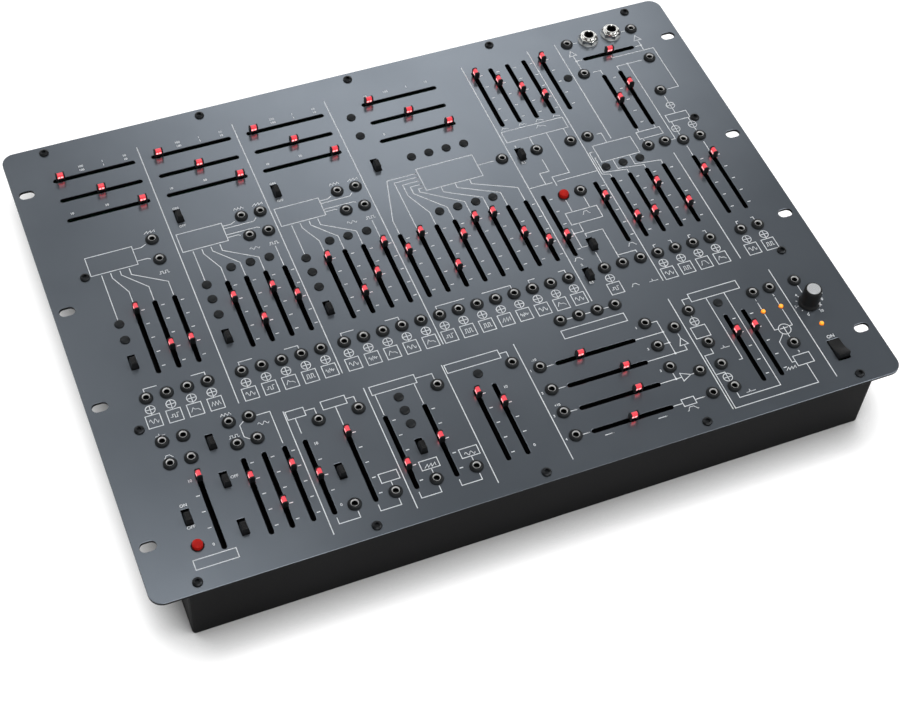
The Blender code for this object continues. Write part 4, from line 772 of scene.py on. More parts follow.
def textured(name, dark, light, patch, grain, bump, rough, **settings):
    """A finish whose colour drifts between two tones over patches, with a fine grain in its surface.
    Patch and grain are sizes in millimetres, bump the height of the grain, rough its range of roughness."""
    finish, tree, shader = new_finish(name, **settings)
    here = own_place(tree)
    tone = ramp(tree, noise(tree, here, patch, 3.0), (dark, light), TONE_STOPS)
    speck = noise(tree, here, grain, 2.0)
    sheen = put(tree, "ShaderNodeMapRange", values={
        "From Min": SPECK_RANGE[0], "From Max": SPECK_RANGE[1], "To Min": rough[0], "To Max": rough[1]},
        links={"Value": speck})
    feed(tree, shader, Base_Color=tone.outputs["Color"], Roughness=sheen.outputs["Result"],
         Normal=relief(tree, speck, GRAIN_STRENGTH, bump))
    return finish


# Satin anodised aluminium: a blue-grey mirror soft enough to smear the lit caps into short red streaks.
PANEL_ALUMINIUM = textured("anodised_aluminium", "#6B727A", "#747B83", 90, 0.5, 0.004, (0.17, 0.23),
                           Metallic=0.65)
# Powder coat on folded steel: near black, with the fine orange-peel that dulls every highlight.
POWDER_COAT = textured("powder_coated_steel", "#101011", "#141415", 60, 0.7, 0.04, (0.60, 0.75), IOR=1.5,
                       Specular_IOR_Level=0.1)
# Screen ink: matt white, a little thin in places.
SCREEN_INK = textured("screen_ink", "#DCE0E4", "#F0F3F5", 4, 0.3, 0.01, (0.45, 0.60), IOR=1.5)
# Moulded ABS: black with a fine spark-eroded texture that gives a grey sheen.
BLACK_ABS = textured("moulded_black_abs", "#0E0F10", "#161718", 6, 0.25, 0.02, (0.40, 0.54), IOR=1.53,
                     Specular_IOR_Level=0.25)
# Glass-filled nylon: a duller and greyer black, for plugs and the nuts' flanks.
BLACK_NYLON = textured("black_nylon", "#111416", "#191D20", 5, 0.4, 0.03, (0.36, 0.52), IOR=1.53,
                       Specular_IOR_Level=0.25)
# Black-oxide steel: screws with a dull oily shine.
BLACK_STEEL = textured("black_oxide_steel", "#17181A", "#24272A", 3, 0.3, 0.01, (0.30, 0.45), Metallic=0.6)
# Nickel plate on turned brass: bright, slightly warm, with fine tool marks.
NICKEL = textured("nickel_plated_brass", "#B4B4B1", "#CBCBC8", 2, 0.2, 0.004, (0.10, 0.20), Metallic=1.0)
# A paler and duller nickel plate, with painted sheen: its near-white, hardly metallic colour stands in for
# bright reflections, so that the small rings stay light from every side.
PAINTED_SHEEN_NICKEL = textured("satin_nickel", "#F4F4F3", "#FFFFFF", 2, 0.2, 0.004, (0.20, 0.30), Metallic=0.1)
# Painted shade: a black darker than any plastic here, for the insides of sockets, bores and contact holes,
# the fader housings under the slots and the walls of the plate's openings, where light hardly reaches.
PAINTED_SHADE_BLACK = textured("socket_bore_plastic", "#030304", "#070708", 2, 0.3, 0.01, (0.55, 0.70), IOR=1.5,
                      Specular_IOR_Level=0.1)
# Red push buttons: moulded ABS, a full red with little sheen.
RED_ABS = textured("moulded_red_abs", "#B0140E", "#C41C12", 4, 0.3, 0.01, (0.34, 0.44), IOR=1.53,
                   Specular_IOR_Level=0.15)
# Zinc-plated sheet steel: pale grey with the drift of the plating bath.
ZINC_STEEL = textured("zinc_plated_steel", "#A3A6A8", "#BCC0C2", 25, 0.6, 0.02, (0.32, 0.45), Metallic=1.0)
# Spring steel wire: darker and shinier.
SPRING_STEEL = textured("spring_steel", "#8C8E90", "#A4A6A8", 3, 0.2, 0.005, (0.22, 0.32), Metallic=1.0)
# Extruded heat sink: black-anodised aluminium.
SINK_ALUMINIUM = textured("black_anodised_aluminium", "#1F2022", "#2C2D30", 30, 0.4, 0.01, (0.35, 0.48),
                          Metallic=0.7)
# Plain white paint in the knob's pointer.
POINTER_PAINT = textured("pointer_paint", "#DFE3E6", "#F2F4F5", 2, 0.2, 0.005, (0.4, 0.5), IOR=1.5)


def lit_acrylic():
    """Red acrylic fader lens lit from below: a bright red foot that the panel mirrors, a soft pinkish top."""
    finish, tree, shader = new_finish("lit_red_acrylic", IOR=1.49, Roughness=0.2, Emission_Strength=4.4)
    here = own_place(tree)
    tone = ramp(tree, climb(tree, here, *LENS_GLOW), ("#FF3238", "#76232A"))
    tone.color_ramp.elements.new(0.35).color = linear("#80191D")
    body = ramp(tree, noise(tree, here, 1.6, 1.0), ("#6E1014", "#84161A"))
    feed(tree, shader, Base_Color=body.outputs["Color"], Emission_Color=tone.outputs["Color"])
    return finish


def lamp_window():
    """Where the lamp itself shows through the lens: pale pink, brighter in random patches."""
    finish, tree, shader = new_finish("lamp_window", IOR=1.49, Roughness=0.2, Emission_Strength=1.1)
    tone = ramp(tree, noise(tree, own_place(tree), 0.8, 1.0), ("#FF9CA0", "#FFC8CA")).outputs["Color"]
    feed(tree, shader, Base_Color=tone, Emission_Color=tone)
    return finish


def lit_amber():
    """Amber lamp dome: orange rim and yellow heart, as a diffused lamp looks."""
    finish, tree, shader = new_finish("lit_amber_lens", IOR=1.5, Roughness=0.25, Emission_Strength=0.85)
    tone = ramp(tree, climb(tree, own_place(tree), *LAMP_GLOW), ("#E0740C", "#FFB038")).outputs["Color"]
    feed(tree, shader, Base_Color=tone, Emission_Color=tone)
    return finish


def circuit_board():
    """Solder mask over glass epoxy: dark green, with paler copper runs under it every few millimetres.
    What stands on the main board is the black plastic of its sockets, up to just under the boards above."""
    finish, tree, shader = new_finish("circuit_board", IOR=1.55, Roughness=0.35)
    here = own_place(tree)
    runs = put(tree, "ShaderNodeTexBrick", values={
        "Scale": 1 / (40 * MM), "Color1": linear("#12402A"), "Color2": linear("#174B31"),
        "Mortar": linear("#2C6B49"), "Mortar Size": 0.012, "Brick Width": 0.35, "Row Height": 0.12},
        links={"Vector": here})
    height = put(tree, "ShaderNodeSeparateXYZ", links={"Vector": here}).outputs["Z"]
    over = maths(tree, "GREATER_THAN", height, MAIN_BOARD_FACE * MM)
    under = maths(tree, "LESS_THAN", height, (BOARD_FLOOR - 1) * MM)
    tone = put(tree, "ShaderNodeMix", {"data_type": "RGBA"}, {7: linear("#101113")},
               {0: maths(tree, "MULTIPLY", over, under), 6: runs.outputs["Color"]})
    feed(tree, shader, Base_Color=tone.outputs[2], Normal=relief(tree, runs.outputs["Fac"], 0.3, 0.03))
    return finish


def ridged(name, waves, codes, strength, height, **settings):
    """A finish with ridges in it. The waves are their kind, their distance apart in millimetres, their other
    values and the place of their middle. Then come two tones, and the ridges' strength and height. The tone
    follows the ridges' height, darker in the grooves and lighter on the crests: painted shade."""
    finish, tree, shader = new_finish(name, **settings)
    kind, apart, values, middle = waves
    here = own_place(tree)
    if middle:
        here = put(tree, "ShaderNodeMapping", values={"Location": -middle},
                   links={"Vector": here}).outputs["Vector"]
    ridges = put(tree, "ShaderNodeTexWave", kind, {"Scale": FULL_TURN / (WAVE_RATE * apart * MM), **values},
                 {"Vector": here}).outputs["Fac"]
    # Painted shade: the same ridges set the tone, darker in the grooves.
    feed(tree, shader, Base_Color=ramp(tree, ridges, codes).outputs["Color"],
         Normal=relief(tree, ridges, strength, height))
    return finish


LIT_ACRYLIC = lit_acrylic()
LAMP_WINDOW = lamp_window()
LIT_AMBER = lit_amber()
CIRCUIT_BOARD = circuit_board()
# Flat ribbon cable: grey vinyl, one soft ridge for every two wires, with painted shade in the grooves.
RIBBON_VINYL = ridged("ribbon_vinyl", ({"bands_direction": "X"}, 2.54, {}, None), ("#77797B", "#A6A8AA"),
                      0.8, 0.3, IOR=1.53, Roughness=0.45)
# The knob's disc: bare aluminium faced on a lathe, so its tool marks run in rings round the knob's axis,
# their grooves darker with painted shade.
TURNED_ALUMINIUM = ridged("turned_aluminium", ({"wave_type": "RINGS", "rings_direction": "Z"}, 1.0,
                                               {"Distortion": 0.6, "Detail": 1.0}, at(*KNOB, 0)),
                          ("#C8CACC", "#DEE0E2"), 0.4, 0.01, Metallic=0.4, Roughness=0.34)


def faders():
    """Every fader: column and row of its slot, whether it runs up the panel, its slot's length, its cap."""
    for row, entries in UPRIGHT_FADERS:
        for column, mark in entries:
            yield column, row, True, SLOT_LENGTH, (column, row + mark * TICK_STEP)
    for row, entries in CROSS_FADERS:
        length = PAN_SLOT_LENGTH if row == PAN_ROW else SLOT_LENGTH
        for column, mark in entries:
            yield column, row, False, length, (column + mark * TICK_STEP, row)


def build_panel():
    """The front plate with all its openings."""
    loops = [frame_points(PANEL_WIDTH / 2, PANEL_DEPTH / 2, PANEL_WIDTH, PANEL_DEPTH, PANEL_CORNER, 8)]
    loops += [slot_points(column, row, length, SLOT_WIDTH, upright)
              for column, row, upright, length, _ in faders()]
    loops += [slot_points(*place, *RACK_SLOT_SIZE, False) for place in RACK_SLOTS]
    loops += [ring_points(*place, SOCKET_HOLE, SMALL_HOLE_STEPS) for place in SOCKET_PLACES]
    loops += [frame_points(*place, *SWITCH_OPENING) for place in SWITCHES]
    loops += [frame_points(*ROCKER, *ROCKER_OPENING)]
    for places, radius in ((BUTTONS, BUTTON_HOLE), ((KNOB,), KNOB_HOLE), (LAMPS, LAMP_HOLE),
                           (OUTPUTS, OUTPUT_HOLE)):
        loops += [ring_points(*place, radius) for place in places]
    mesh = cut_plate("panel_plate", loops, PANEL_LEVEL, PANEL_FACE, PANEL_EDGE)
    plate = own("panel_plate", mesh, PANEL_ALUMINIUM, PAINTED_SHADE_BLACK, POWDER_COAT)
    for face in mesh.polygons:
        inside = abs(face.center.x) < (PANEL_WIDTH / 2 - PAINTED_SHADE_MARGINS[0]) * MM
        inside = inside and abs(face.center.y) < (PANEL_DEPTH / 2 - PAINTED_SHADE_MARGINS[1]) * MM
        # Walls of openings take the black of painted shade; the rim takes the tray's coat.
        if abs(face.normal.z) < WALL_TILT:
            face.material_index = 1 if inside else 2
    keep(plate, "chassis", "panel_paint", "front_panel")


def shifted(wires, steps):
    """The same wires at each of these steps to the right."""
    return [[(column + step, row) for column, row in wire] for step in steps for wire in wires]


def draw_wires(work):
    """The thin lines of the signal flow, with their dots, arrows and triangles."""
    wires = [*BENT_WIRES, *shifted(OSCILLATOR_WIRES, OSCILLATOR_STEPS), *shifted(PAIR_WIRES, STEPS_OF_TWO)]
    wires += [[(column, first), (column, last)] for column, first, last in UPRIGHT_WIRES]
    wires += [[(first, row), (last, row)] for row, first, last in LEVEL_WIRES]
    wires += [[(first, LOOP_ROWS[0]), (first, LOOP_ROWS[1]), (last, LOOP_ROWS[1]), (last, LOOP_ROWS[0])]
              for first, last in LOOPS]
    for first, last, gap_start, gap_end in BRACKETS:
        wires.append([(first, BRACKET_FOOT), (first, BRACKET_ROW), (gap_start, BRACKET_ROW)])
        wires.append([(gap_end, BRACKET_ROW), (last, BRACKET_ROW), (last, BRACKET_FOOT)])
    for wire in wires:
        ribbon(work, wire, WIRE_WIDTH)
    for place in WIRE_DOTS:
        pad_of_ink(work, ring_points(*place, DOT_RADIUS, SMALL_HOLE_STEPS), DOT_RISE)
    for column, row in ARROWS:
        pad_of_ink(work, [(column, row), (column - ARROW_LENGTH, row + ARROW_HALF),
                          (column - ARROW_LENGTH, row - ARROW_HALF)])
    for corners in AMPLIFIERS:
        ribbon(work, corners, WIRE_WIDTH, closed=True)


def draw_frames(work):
    """Frames, the source frames' symbols and leads, all other symbols, and the long rules."""
    for column, first, last in RULES:
        ribbon(work, [(column, first), (column, last)], RULE_WIDTH)
    for left, right, top, foot in FRAMES:
        ribbon(work, [(left, top), (right, top), (right, foot), (left, foot)], WIRE_WIDTH, closed=True)
    _, top, foot = SOURCE_FRAME
    for column, kind in SOURCES:
        symbol(work, kind, column, (top + foot) / 2, *SOURCE_SYMBOL_SIZE)
        ribbon(work, [(column, SOURCE_LEAD), (column, top)], WIRE_WIDTH)
    for entry in SYMBOLS:
        symbol(work, *entry)


def draw_rounds(work):
    """Ticks round the phones knob, the circles of the adders with their crosses, and the selector."""
    for angle in DIAL_TICK_ANGLES:
        ribbon(work, [round_knob(angle, reach) for reach in DIAL_TICKS], DIAL_WIDTH)
    for column, row in ADDERS:
        ribbon(work, ring_points(column, row, ADDER_RADIUS, ADDER_STEPS), ADDER_WIDTH, closed=True)
        ribbon(work, [(column - ADDER_RADIUS, row), (column + ADDER_RADIUS, row)], ADDER_WIDTH)
        ribbon(work, [(column, row - ADDER_RADIUS), (column, row + ADDER_RADIUS)], ADDER_WIDTH)
    ribbon(work, ring_points(*SELECTOR, SELECTOR_STEPS), WIRE_WIDTH, closed=True)


def letters(text, column, row, height):
    """A short number or word as a flat mesh on the panel."""
    curve = bpy.data.curves.new("letters", "FONT")
    curve.body = text
    curve.size = height * LETTER_SHARE * MM
    curve.align_x = "CENTER"
    curve.align_y = "CENTER"
    curve.extrude = (INK_SINK + INK_RISE) / 2 * MM
    curve.resolution_u = 3
    curve.offset = LETTER_SWELL * MM
    mesh = evaluated(placed("letters", curve))
    mesh.transform(Matrix.Translation(at(column, row, PANEL_FACE + (INK_RISE - INK_SINK) / 2)))
    return mesh


def build_print():
    """All the white print, as thin ink on the plate, and the tick marks beside the faders."""
    work = bmesh.new()
    draw_frames(work)
    draw_wires(work)
    draw_rounds(work)
    for height, entries in WORDS.items():
        for entry in entries:
            mesh = letters(*entry, height)
            work.from_mesh(mesh)
            bpy.data.meshes.remove(mesh)
    keep(own("panel_print", to_mesh(work, "panel_print"), SCREEN_INK), "chassis", "panel_paint")
    ticks = [(PAIR_TICK_COLUMN, PAIR_ROW + mark * TICK_STEP) for mark in ALL_TICKS]
    for row, entries in UPRIGHT_FADERS:
        for column, _ in entries if row != PAIR_ROW else ():
            reach = -TICK_REACH if column in LEFT_TICKED else TICK_REACH
            marks = INNER_TICKS if column in INNER_TICKED else ALL_TICKS
            ticks += [(column + reach, row + mark * TICK_STEP) for mark in marks]
    work = bmesh.new()
    length, width = TICK_SIZE
    block(work, (-length / 2, -width / 2, -INK_SINK), (length / 2, width / 2, INK_RISE), 0)
    spread("tick_marks", work, unturned(ticks), SCREEN_INK, "panel_paint")


def build_sockets():
    """The small sockets: a black round nut, a ring in it made light with painted sheen, and a bore made black
    with painted shade.
    """
    places = unturned(SOCKET_PLACES)
    spread_turned("socket_nuts", ((SOCKET_RADIUS, 0), (SOCKET_RADIUS, 0.7), (4.1, 1.1), (3.6, 1.7),
                                  (3.1, 1.95), (2.7, SOCKET_RISE), (2.4, SOCKET_RISE), (2.4, 0)),
                  26, places, BLACK_NYLON, "socket_chrome", closed=True)
    spread_turned("socket_rings", ((2.45, -1.0), (2.45, 1.8), (2.36, SOCKET_RISE), (2.25, SOCKET_RISE),
                                   (1.98, 1.3), (1.93, -1.0)),
                  20, places, PAINTED_SHEEN_NICKEL, "socket_chrome", closed=True)
    # The bore's black is painted shade.
    spread_turned("socket_bores", ((0, -8.0), (2.05, -8.0), (2.05, 0.9), (1.82, 0.9), (1.82, -7.0),
                                   (0, -7.0)), 16, places, PAINTED_SHADE_BLACK, "socket_chrome")


def six_sided(radius, angle):
    """How far out a hexagon reaches at this angle, when its flats stand this far out."""
    return radius / math.cos((angle + math.pi / 6) % (math.pi / 3) - math.pi / 6)


def drive(radius, height, angle):
    """A hexagon socket in the screw's head."""
    return radius if radius > DRIVE_RADIUS else six_sided(radius * math.cos(math.pi / 6), angle)


def hexagon(radius, height, angle):
    """A hexagon nut whose corners are turned off at its top."""
    return min(radius, six_sided(NUT_CORNER * math.cos(math.pi / 6), angle))


def build_fasteners():
    """Panel screws, blanking plugs and lamps."""
    spread_turned("panel_screws", ((0, -1.0), (2.6, -1.0), (SCREW_RADIUS, 0), (SCREW_RADIUS, 0.5), (2.9, 1.1),
                                   (2.2, 1.5), (1.9, 1.6), (1.6, 1.6), (1.55, 0.4), (0, 0.4)),
                  24, unturned(SCREWS), BLACK_STEEL, "panel_paint", rule=drive)
    spread_turned("blanking_plugs", ((0, -0.5), (PLUG_RADIUS, -0.5), (PLUG_RADIUS, 0.35), (2.95, 0.8),
                                     (2.4, 1.1), (1.4, 1.3), (0, 1.35)),
                  20, unturned(PLUGS), BLACK_NYLON, "panel_paint")
    spread_turned("amber_lamps", ((0, -3.0), (LAMP_RADIUS, -3.0), (LAMP_RADIUS, 0.2), (1.35, 0.6),
                                  (1.05, 0.95), (0.6, 1.15), (0, 1.2)),
                  18, unturned(LAMPS), LIT_AMBER, "panel_paint")


def arch(work, ends, width, foot, top, shoulder, finish=0):
    """A slab along X between two ends, whose top is rounded across its width down to the shoulder's depth."""
    half = width / 2
    outline = [(-half, foot), (half, foot)]
    for step in range(9):
        across = 1 - step / 4
        fall = across ** 4 + 0.25 * across ** 2 * (1 - across ** 2)
        outline.append((half * across, top - shoulder * fall))
    skin(work, [[Vector((end, side, up)) * MM for side, up in outline] for end in ends], finish=finish)


def cap_lens(work, finish=0):
    """The red lens between the cap's plates, along X, held clear of the panel's face at the origin."""
    reach = CAP_LENGTH / 2 - CAP_PLATE + LENS_OVERLAP
    arch(work, (-reach, reach), LENS_WIDTH, LENS_FOOT, CAP_TOP - LENS_DROP, LENS_SHOULDER, finish)


def cap_windows(work, finish=0):
    """The two pale lamp windows low on each long side of the lens."""
    for side in (-1, 1):
        low, high = sorted(side * depth for depth in WINDOW_SIDES)
        for start in WINDOW_STARTS:
            block(work, (start, low, WINDOW_HEIGHTS[0]), (start + WINDOW_LENGTH, high, WINDOW_HEIGHTS[1]), 0,
                  finish)


def cap_plates(work, finish=0):
    """The two black end plates with their rounded tops, and the bar that joins them over the slot."""
    reach = CAP_LENGTH / 2
    for side in (-1, 1):
        ends = sorted((side * (reach - CAP_PLATE), side * reach))
        arch(work, ends, CAP_WIDTH, CAP_FOOT, CAP_TOP, PLATE_SHOULDER, finish)
    block(work, (0.3 - reach, -0.9, CAP_FOOT), (reach - 0.3, 0.9, CAP_FOOT + 0.6), 0.15, finish)


def cap_stem(work, finish=0, foot=FIXED_STEM_FOOT):
    """The lever that the cap is pressed on."""
    half_x, half_y = STEM_HALF
    block(work, (-half_x, -half_y, foot), (half_x, half_y, LENS_FOOT + 0.4), 0.12, finish)


def build_faders():
    """Fader caps: those that slide ride on their own bodies, the others stand on the boards."""
    movers = [(name, *node_place(name)) for name in frame["bodies"] if "_fader" in name]
    still = []
    for _, _, upright, _, cap in faders():
        spot = at(*cap)
        turn = math.pi / 2 if upright else 0
        near = [entry for entry in movers if (entry[1].xy - spot.xy).length < SAME_PLACE * MM]
        if not near:
            still.append((*spot, turn))
            continue
        name, middle, foot, _ = near[0]
        work = bmesh.new()
        cap_plates(work, 0)
        cap_lens(work, 1)
        cap_stem(work, 2, foot)
        cap_windows(work, 3)
        dress(name, "_cap", work, middle, "fader_plastic", BLACK_ABS, LIT_ACRYLIC, BLACK_STEEL, LAMP_WINDOW,
              turn=turn)
    for ending, shape, finish in (("plates", cap_plates, BLACK_ABS), ("lenses", cap_lens, LIT_ACRYLIC),
                                  ("windows", cap_windows, LAMP_WINDOW), ("stems", cap_stem, BLACK_STEEL)):
        work = bmesh.new()
        shape(work)
        spread("fixed_cap_" + ending, work, still, finish, "fader_plastic")


def build_outputs():
    """The two big output sockets: washer, hexagon nut, threaded collar and a deep bore."""
    for name in ("output_socket_left", "output_socket_right"):
        middle, foot, _ = node_place(name)
        work = bmesh.new()
        turned(work, ((7.3, 0), (7.3, 0.5), (7.0, 0.8), (4.5, 0.8), (4.5, 0)), 32, closed=True, finish=2)
        turned(work, ((6.9, 0.8), (6.9, 3.2), (6.5, 3.9), (5.9, 4.2), (4.4, 4.2), (4.4, 0.8)), 36,
               rule=hexagon, closed=True)
        collar = [(4.7, foot), (4.7, 4.0)]
        for step in range(3):
            collar += [(4.7, 4.2 + 0.4 * step), (4.4, 4.4 + 0.4 * step)]
        collar += [(4.6, 5.4), (4.3, 5.8), (3.7, 5.8), (3.3, 5.4), (3.3, foot + 1.5), (3.3, foot)]
        turned(work, collar, 28, closed=True)
        # The bore's black is painted shade.
        turned(work, ((0, foot), (3.45, foot), (3.45, 4.6), (3.28, 4.6), (3.28, foot + 1.6), (0, foot + 1.6)),
               24, finish=1)
        dress(name, "_metal", work, middle, "socket_chrome", NICKEL, PAINTED_SHADE_BLACK, ZINC_STEEL, body="chassis")


def knob_mark(work, half, proud, spots, finish):
    """A raised stripe down the knob's side, standing so far proud of it, through (radius, height) pairs."""
    along = Vector((math.cos(KNOB_ANGLE), math.sin(KNOB_ANGLE), 0))
    across = Vector((-along.y, along.x, 0))
    skin(work, [[(along * (radius + rise) + across * side * half + Vector((0, 0, height))) * MM
                 for side, rise in ((-1, -0.4), (-1, proud), (1, proud), (1, -0.4))]
                for radius, height in spots], finish=finish)


def build_knob():
    """The phones knob: a black skirted body, a faced aluminium disc, and a rib down it with a white foot."""
    middle, foot, _ = node_place("phones_knob")
    work = bmesh.new()
    turned(work, ((0, foot), (2.9, foot), (2.9, 0.3), (6.8, 0.3), (7.0, 0.6), (7.0, 1.8), (6.7, 2.2),
                  (6.25, 2.6), (6.05, 3.2), (5.65, 13.6), (5.4, 14.2), (5.2, 14.4), (4.45, 14.4),
                  (4.4, 14.2), (0, 14.2)), 48)
    turned(work, ((0, 14.1), (4.35, 14.1), (4.35, 14.7), (4.2, 14.8), (0, 14.8)), 40, finish=1)
    knob_mark(work, 0.4, 0.15, ((6.0, 4.3), (5.7, 13.2)), 0)
    knob_mark(work, 0.6, 0.5, ((7.0, 0.9), (7.0, 1.8), (6.7, 2.4), (6.3, 3.0), (6.0, 4.2)), 2)
    knob_mark(work, 0.3, 0.1, ((5.7, 13.2), (5.5, 13.9)), 2)
    dress("phones_knob", "_body", work, middle, "knob_plastic", BLACK_ABS, TURNED_ALUMINIUM, POINTER_PAINT)


def build_buttons():
    """Round red push buttons, each in a thin black ring."""
    places = []
    for name in ("trigger_button", "portamento_button"):
        middle, foot, top = node_place(name)
        work = bmesh.new()
        turned(work, ((0, foot), (BUTTON_RADIUS - 0.1, foot), (BUTTON_RADIUS, 0), (BUTTON_RADIUS, top - 0.7),
                      (BUTTON_RADIUS - 0.25, top - 0.25), (BUTTON_RADIUS - 0.8, top), (1.4, top - 0.1),
                      (0, top - 0.15)), 32)
        dress(name, "_cap", work, middle, "button_plastic", RED_ABS)
        places.append((*middle, 0))
    spread_turned("button_rings", ((4.0, 0), (4.0, 0.25), (3.8, 0.4), (3.5, 0.4), (3.45, 0.2), (3.45, 0)),
                  28, places, BLACK_ABS, "panel_paint", closed=True)


def build_rocker():
    """The power rocker: one long face dished along its length, its upper end pressed in."""
    middle, foot, _ = node_place("power_rocker")
    half = ROCKER_WIDTH / 2
    profile = [(4.4, foot), (7.3, -2.6), (7.9, 0.5), (7.6, 0.8), (4.0, 0.95), (0.5, 1.5), (-3.0, 2.7),
               (-5.6, 4.0), (-6.3, 4.0), (-6.6, 3.6), (-7.0, -0.4), (-4.4, foot)]
    # Slices across the rocker: where each is, and how far its edge is rounded in.
    slices = ((-half, 0.25), (0.25 - half, 0), (half - 0.25, 0), (half, 0.25))
    work = bmesh.new()
    skin(work, [[Vector((side, along * (1 - inset / 7), up - (inset if up > 0 else 0))) * MM
                 for along, up in profile] for side, inset in slices])
    middle.y = at(*ROCKER).y
    dress("power_rocker", "_cap", work, middle, "switch_plastic", BLACK_ABS)


def build_levers():
    """Slide switch levers: tapered, with a dished top between two low ridges."""
    for name in frame["nodes"]:
        if "_switch" not in name:
            continue
        middle, foot, top = node_place(name)
        stack = ((2.0, 3.2, foot), (2.0, 3.2, 0), (1.75, 2.95, top - 0.6), (1.6, 2.75, top - 0.15),
                 (1.4, 2.4, top), (1.15, 1.7, top), (1.0, 1.3, top - 0.3))
        work = bmesh.new()
        skin(work, [[Vector((x * side_x, y * side_y, level)) * MM
                     for side_x, side_y in ((-1, -1), (1, -1), (1, 1), (-1, 1))] for x, y, level in stack])
        dress(name, "_lever", work, middle, "switch_plastic", BLACK_ABS)


def build_boards():
    """The three control boards under the panel, with the housings that stand on them. A fader's housing lies
    along X: two side rails with a channel between them, and two end blocks."""
    for name in ("upper_board", "middle_board", "lower_board"):
        low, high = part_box(name)
        work = bmesh.new()
        block(work, (low.x / MM, low.y / MM, BOARD_FLOOR), (high.x / MM, high.y / MM, HOUSING_FLOOR), 0.2)
        keep(own(name + "_laminate", to_mesh(work, name), CIRCUIT_BOARD), "chassis", "control_boards", name)
    work = bmesh.new()
    block(work, (-RAIL_REACH, -HOUSING_HALF, 0), (RAIL_REACH, HOUSING_HALF, 1.2), 0.1)
    for side in (-1, 1):
        middle = side * RAIL_MIDDLE
        block(work, (-RAIL_REACH, middle - RAIL_HALF, 1.0), (RAIL_REACH, middle + RAIL_HALF, HOUSING_HEIGHT),
              0.25)
        first, last = sorted(side * end for end in END_BLOCK)
        block(work, (first, -HOUSING_HALF, 0), (last, HOUSING_HALF, HOUSING_HEIGHT + 1.0), 0.25)
    places = [(*at(column, row, HOUSING_FLOOR), math.pi / 2 if upright else 0)
              for column, row, upright, _, _ in faders()]
    # The housings take the black of painted shade, seen through the slots.
    spread("fader_housings", work, places, PAINTED_SHADE_BLACK, "control_boards")
    for name, (half_x, half_y, height), places in (("socket_bodies", SOCKET_BODY, SOCKET_PLACES),
                                                   ("switch_bodies", SWITCH_BODY, SWITCHES)):
        work = bmesh.new()
        block(work, (-half_x, -half_y, 0), (half_x, half_y, height), 0.4)
        spread(name, work, unturned(places, HOUSING_FLOOR), BLACK_NYLON, "control_boards")


def on_rear(name, work, place, *finishes):
    """Sets a shape built along Z into the rear wall, facing out of it."""
    mesh = to_mesh(work, name)
    mesh.transform(Matrix.Translation(Vector((place[0] - PANEL_WIDTH / 2, REAR_WALL, place[1])) * MM)
                   @ Matrix.Rotation(-math.pi / 2, 4, "X"))
    keep(own(name, mesh, *finishes), "chassis", "main_board")


def build_rear():
    """What shows in the rear sockets: round data sockets with five contacts, a square one, a power inlet."""
    for side, place in DATA_SOCKETS.items():
        work = bmesh.new()
        turned(work, ((6.7, -1.1), (7.2, -1.1), (7.2, -0.3), (7.0, -0.1), (6.8, -0.1), (6.7, -0.3)), 40,
               closed=True)
        turned(work, ((0, -1.15), (6.75, -1.15), (6.75, -0.6), (6.6, -0.5), (0, -0.5)), 40, finish=1)
        for step in range(DATA_CONTACTS):
            angle = math.pi * step / (DATA_CONTACTS - 1)
            spot = (CONTACT_CIRCLE * math.cos(angle), -CONTACT_CIRCLE * math.sin(angle), -0.55)
            turned(work, ((0.55, 0), (1.0, 0), (1.0, 0.2), (0.85, 0.3), (0.55, 0.25)), 14, spot, closed=True)
            # Painted shade: dark discs in the contacts' holes, and below them a dark block in the key slot.
            turned(work, ((0, 0), (0.6, 0), (0.6, 0.12), (0, 0.12)), 14, spot, finish=2)
        block(work, (-0.9, 5.0, -0.6), (0.9, 6.5, -0.42), 0.05, 2)
        on_rear("data_socket_" + side, work, place, NICKEL, BLACK_NYLON, PAINTED_SHADE_BLACK)
    work = bmesh.new()
    for left, right, foot, top in ((-4.1, -3.7, -3.6, 3.6), (3.7, 4.1, -3.6, 3.6), (-3.8, 3.8, -3.6, -3.2),
                                   (-3.8, 3.8, 3.2, 3.6)):
        block(work, (left, foot, -8.9), (right, top, -0.2), 0.12)
    block(work, (-2.8, -1.5, -8.9), (2.8, 1.5, -1.2), 0.25, 1)
    on_rear("square_socket", work, SQUARE_SOCKET, NICKEL, POINTER_PAINT)
    work = bmesh.new()
    turned(work, ((2.75, -8.8), (3.05, -8.8), (3.05, -0.2), (2.9, -0.1), (2.75, -0.2)), 28, closed=True)
    turned(work, ((0, -8.9), (0.95, -8.9), (0.95, -2.2), (0.7, -1.7), (0, -1.5)), 16)
    on_rear("power_inlet", work, POWER_INLET, NICKEL)


def dress_kit():
    """Finishes for the CAD nodes that stay."""
    finishes = {"chassis_tray": POWDER_COAT, "main_board": CIRCUIT_BOARD, "heat_sink": SINK_ALUMINIUM,
                "reverb_tank": ZINC_STEEL, "reverb_spring": SPRING_STEEL, "ribbon_cable": RIBBON_VINYL}
    for name, finish in finishes.items():
        node = frame["nodes"][name]
        node.data.materials.clear()
        node.data.materials.append(finish)


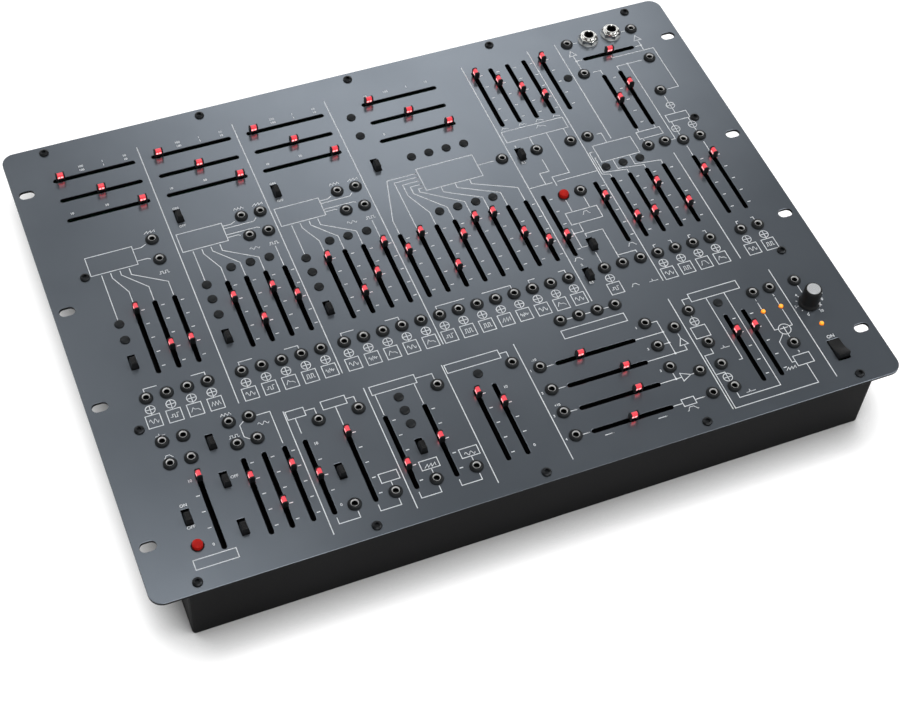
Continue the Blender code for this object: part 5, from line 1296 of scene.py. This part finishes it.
def build_floor():
    """A pale floor that looks white to the camera. It keeps the case's own soft shadow, and a painted shadow
    dims its glow near the case.
    """
    mesh = bpy.data.meshes.new("floor")
    mesh.from_pydata([(x * FLOOR_HALF, y * FLOOR_HALF, FLOOR_LEVEL)
                      for x, y in ((-1, -1), (1, -1), (1, 1), (-1, 1))], [], [(0, 1, 2, 3)])
    finish, tree, shader = new_finish("floor_white", Roughness=0.35, Base_Color=linear("#B4B4B4"))
    # Painted shadow: the glow dims by ambient occlusion where the floor meets the case.
    painted_shadow = put(tree, "ShaderNodeAmbientOcclusion", {"samples": 8}, {"Distance": SHADOW_REACH * MM})
    strength = maths(tree, "MULTIPLY", maths(tree, "POWER", painted_shadow.outputs["AO"], SHADOW_HARDNESS), FLOOR_GLOW)
    path = put(tree, "ShaderNodeLightPath")
    seen = maths(tree, "MAXIMUM", path.outputs["Is Camera Ray"], path.outputs["Is Glossy Ray"])
    seen = maths(tree, "MAXIMUM", seen, path.outputs["Is Transmission Ray"])
    glow = put(tree, "ShaderNodeEmission", links={"Strength": strength})
    none = put(tree, "ShaderNodeEmission", values={"Strength": 0.0})
    chosen = put(tree, "ShaderNodeMixShader", links={0: seen, 1: none.outputs["Emission"],
                                                     2: glow.outputs["Emission"]})
    both = put(tree, "ShaderNodeAddShader", links={0: shader.outputs["BSDF"], 1: chosen.outputs["Shader"]})
    tree.links.new(both.outputs["Shader"], tree.nodes["Material Output"].inputs["Surface"])
    own("floor", mesh, finish)


def soft_step(tree, source, span, levels):
    """Goes softly from one level to another where the source is between two values."""
    return put(tree, "ShaderNodeMapRange", {"interpolation_type": "SMOOTHSTEP"}, {
        "From Min": span[0], "From Max": span[1], "To Min": levels[0], "To Max": levels[1]},
        {"Value": source}).outputs["Result"]


def sky_patch(tree, way, middle, span, level):
    """A soft bright patch of the studio: its middle, the cosines between which it grows, and its level."""
    near = put(tree, "ShaderNodeVectorMath", {"operation": "DOT_PRODUCT"}, {1: middle}, {0: way})
    return soft_step(tree, near.outputs["Value"], span, (0.0, level))


def build_light():
    """A dim studio with a bright patch behind the case, one over it, and three large soft lamps."""
    world = bpy.data.worlds.new("studio")
    bpy.context.scene.world = world
    world.use_nodes = True
    tree = world.node_tree
    way = put(tree, "ShaderNodeTexCoord").outputs["Generated"]
    patches = maths(tree, "ADD", sky_patch(tree, way, *BACK_PATCH), sky_patch(tree, way, *SIDE_PATCH))
    height = put(tree, "ShaderNodeSeparateXYZ", links={"Vector": way}).outputs["Z"]
    back = tree.nodes["Background"]
    back.inputs["Color"].default_value = linear("#FFFFFF")
    tree.links.new(maths(tree, "ADD", patches, soft_step(tree, height, *HORIZON)), back.inputs["Strength"])
    for name, (place, size, power) in STUDIO_LAMPS.items():
        data = bpy.data.lights.new(name, "AREA")
        data.shape = "DISK"
        data.size = size
        data.energy = power
        lamp = placed(name, data)
        lamp.location = place
        lamp.rotation_euler = (-Vector(place)).to_track_quat("-Z", "Y").to_euler()


def build_camera():
    """The photograph's own view."""
    data = bpy.data.cameras.new("camera")
    data.lens = CAMERA_LENS
    data.sensor_width = CAMERA_SENSOR
    camera = placed("camera", data)
    turn = Matrix((CAMERA_RIGHT, CAMERA_UP, CAMERA_RIGHT.cross(CAMERA_UP))).transposed().to_4x4()
    camera.matrix_world = Matrix.Translation(CAMERA_PLACE) @ turn
    bpy.context.scene.camera = camera


bpy.context.scene.view_settings.view_transform = "Standard"
for build in (build_camera, build_light, build_floor, build_panel, build_print, build_sockets,
              build_fasteners, build_faders, build_outputs, build_knob, build_buttons, build_rocker,
              build_levers, build_boards, build_rear, dress_kit):
    build()
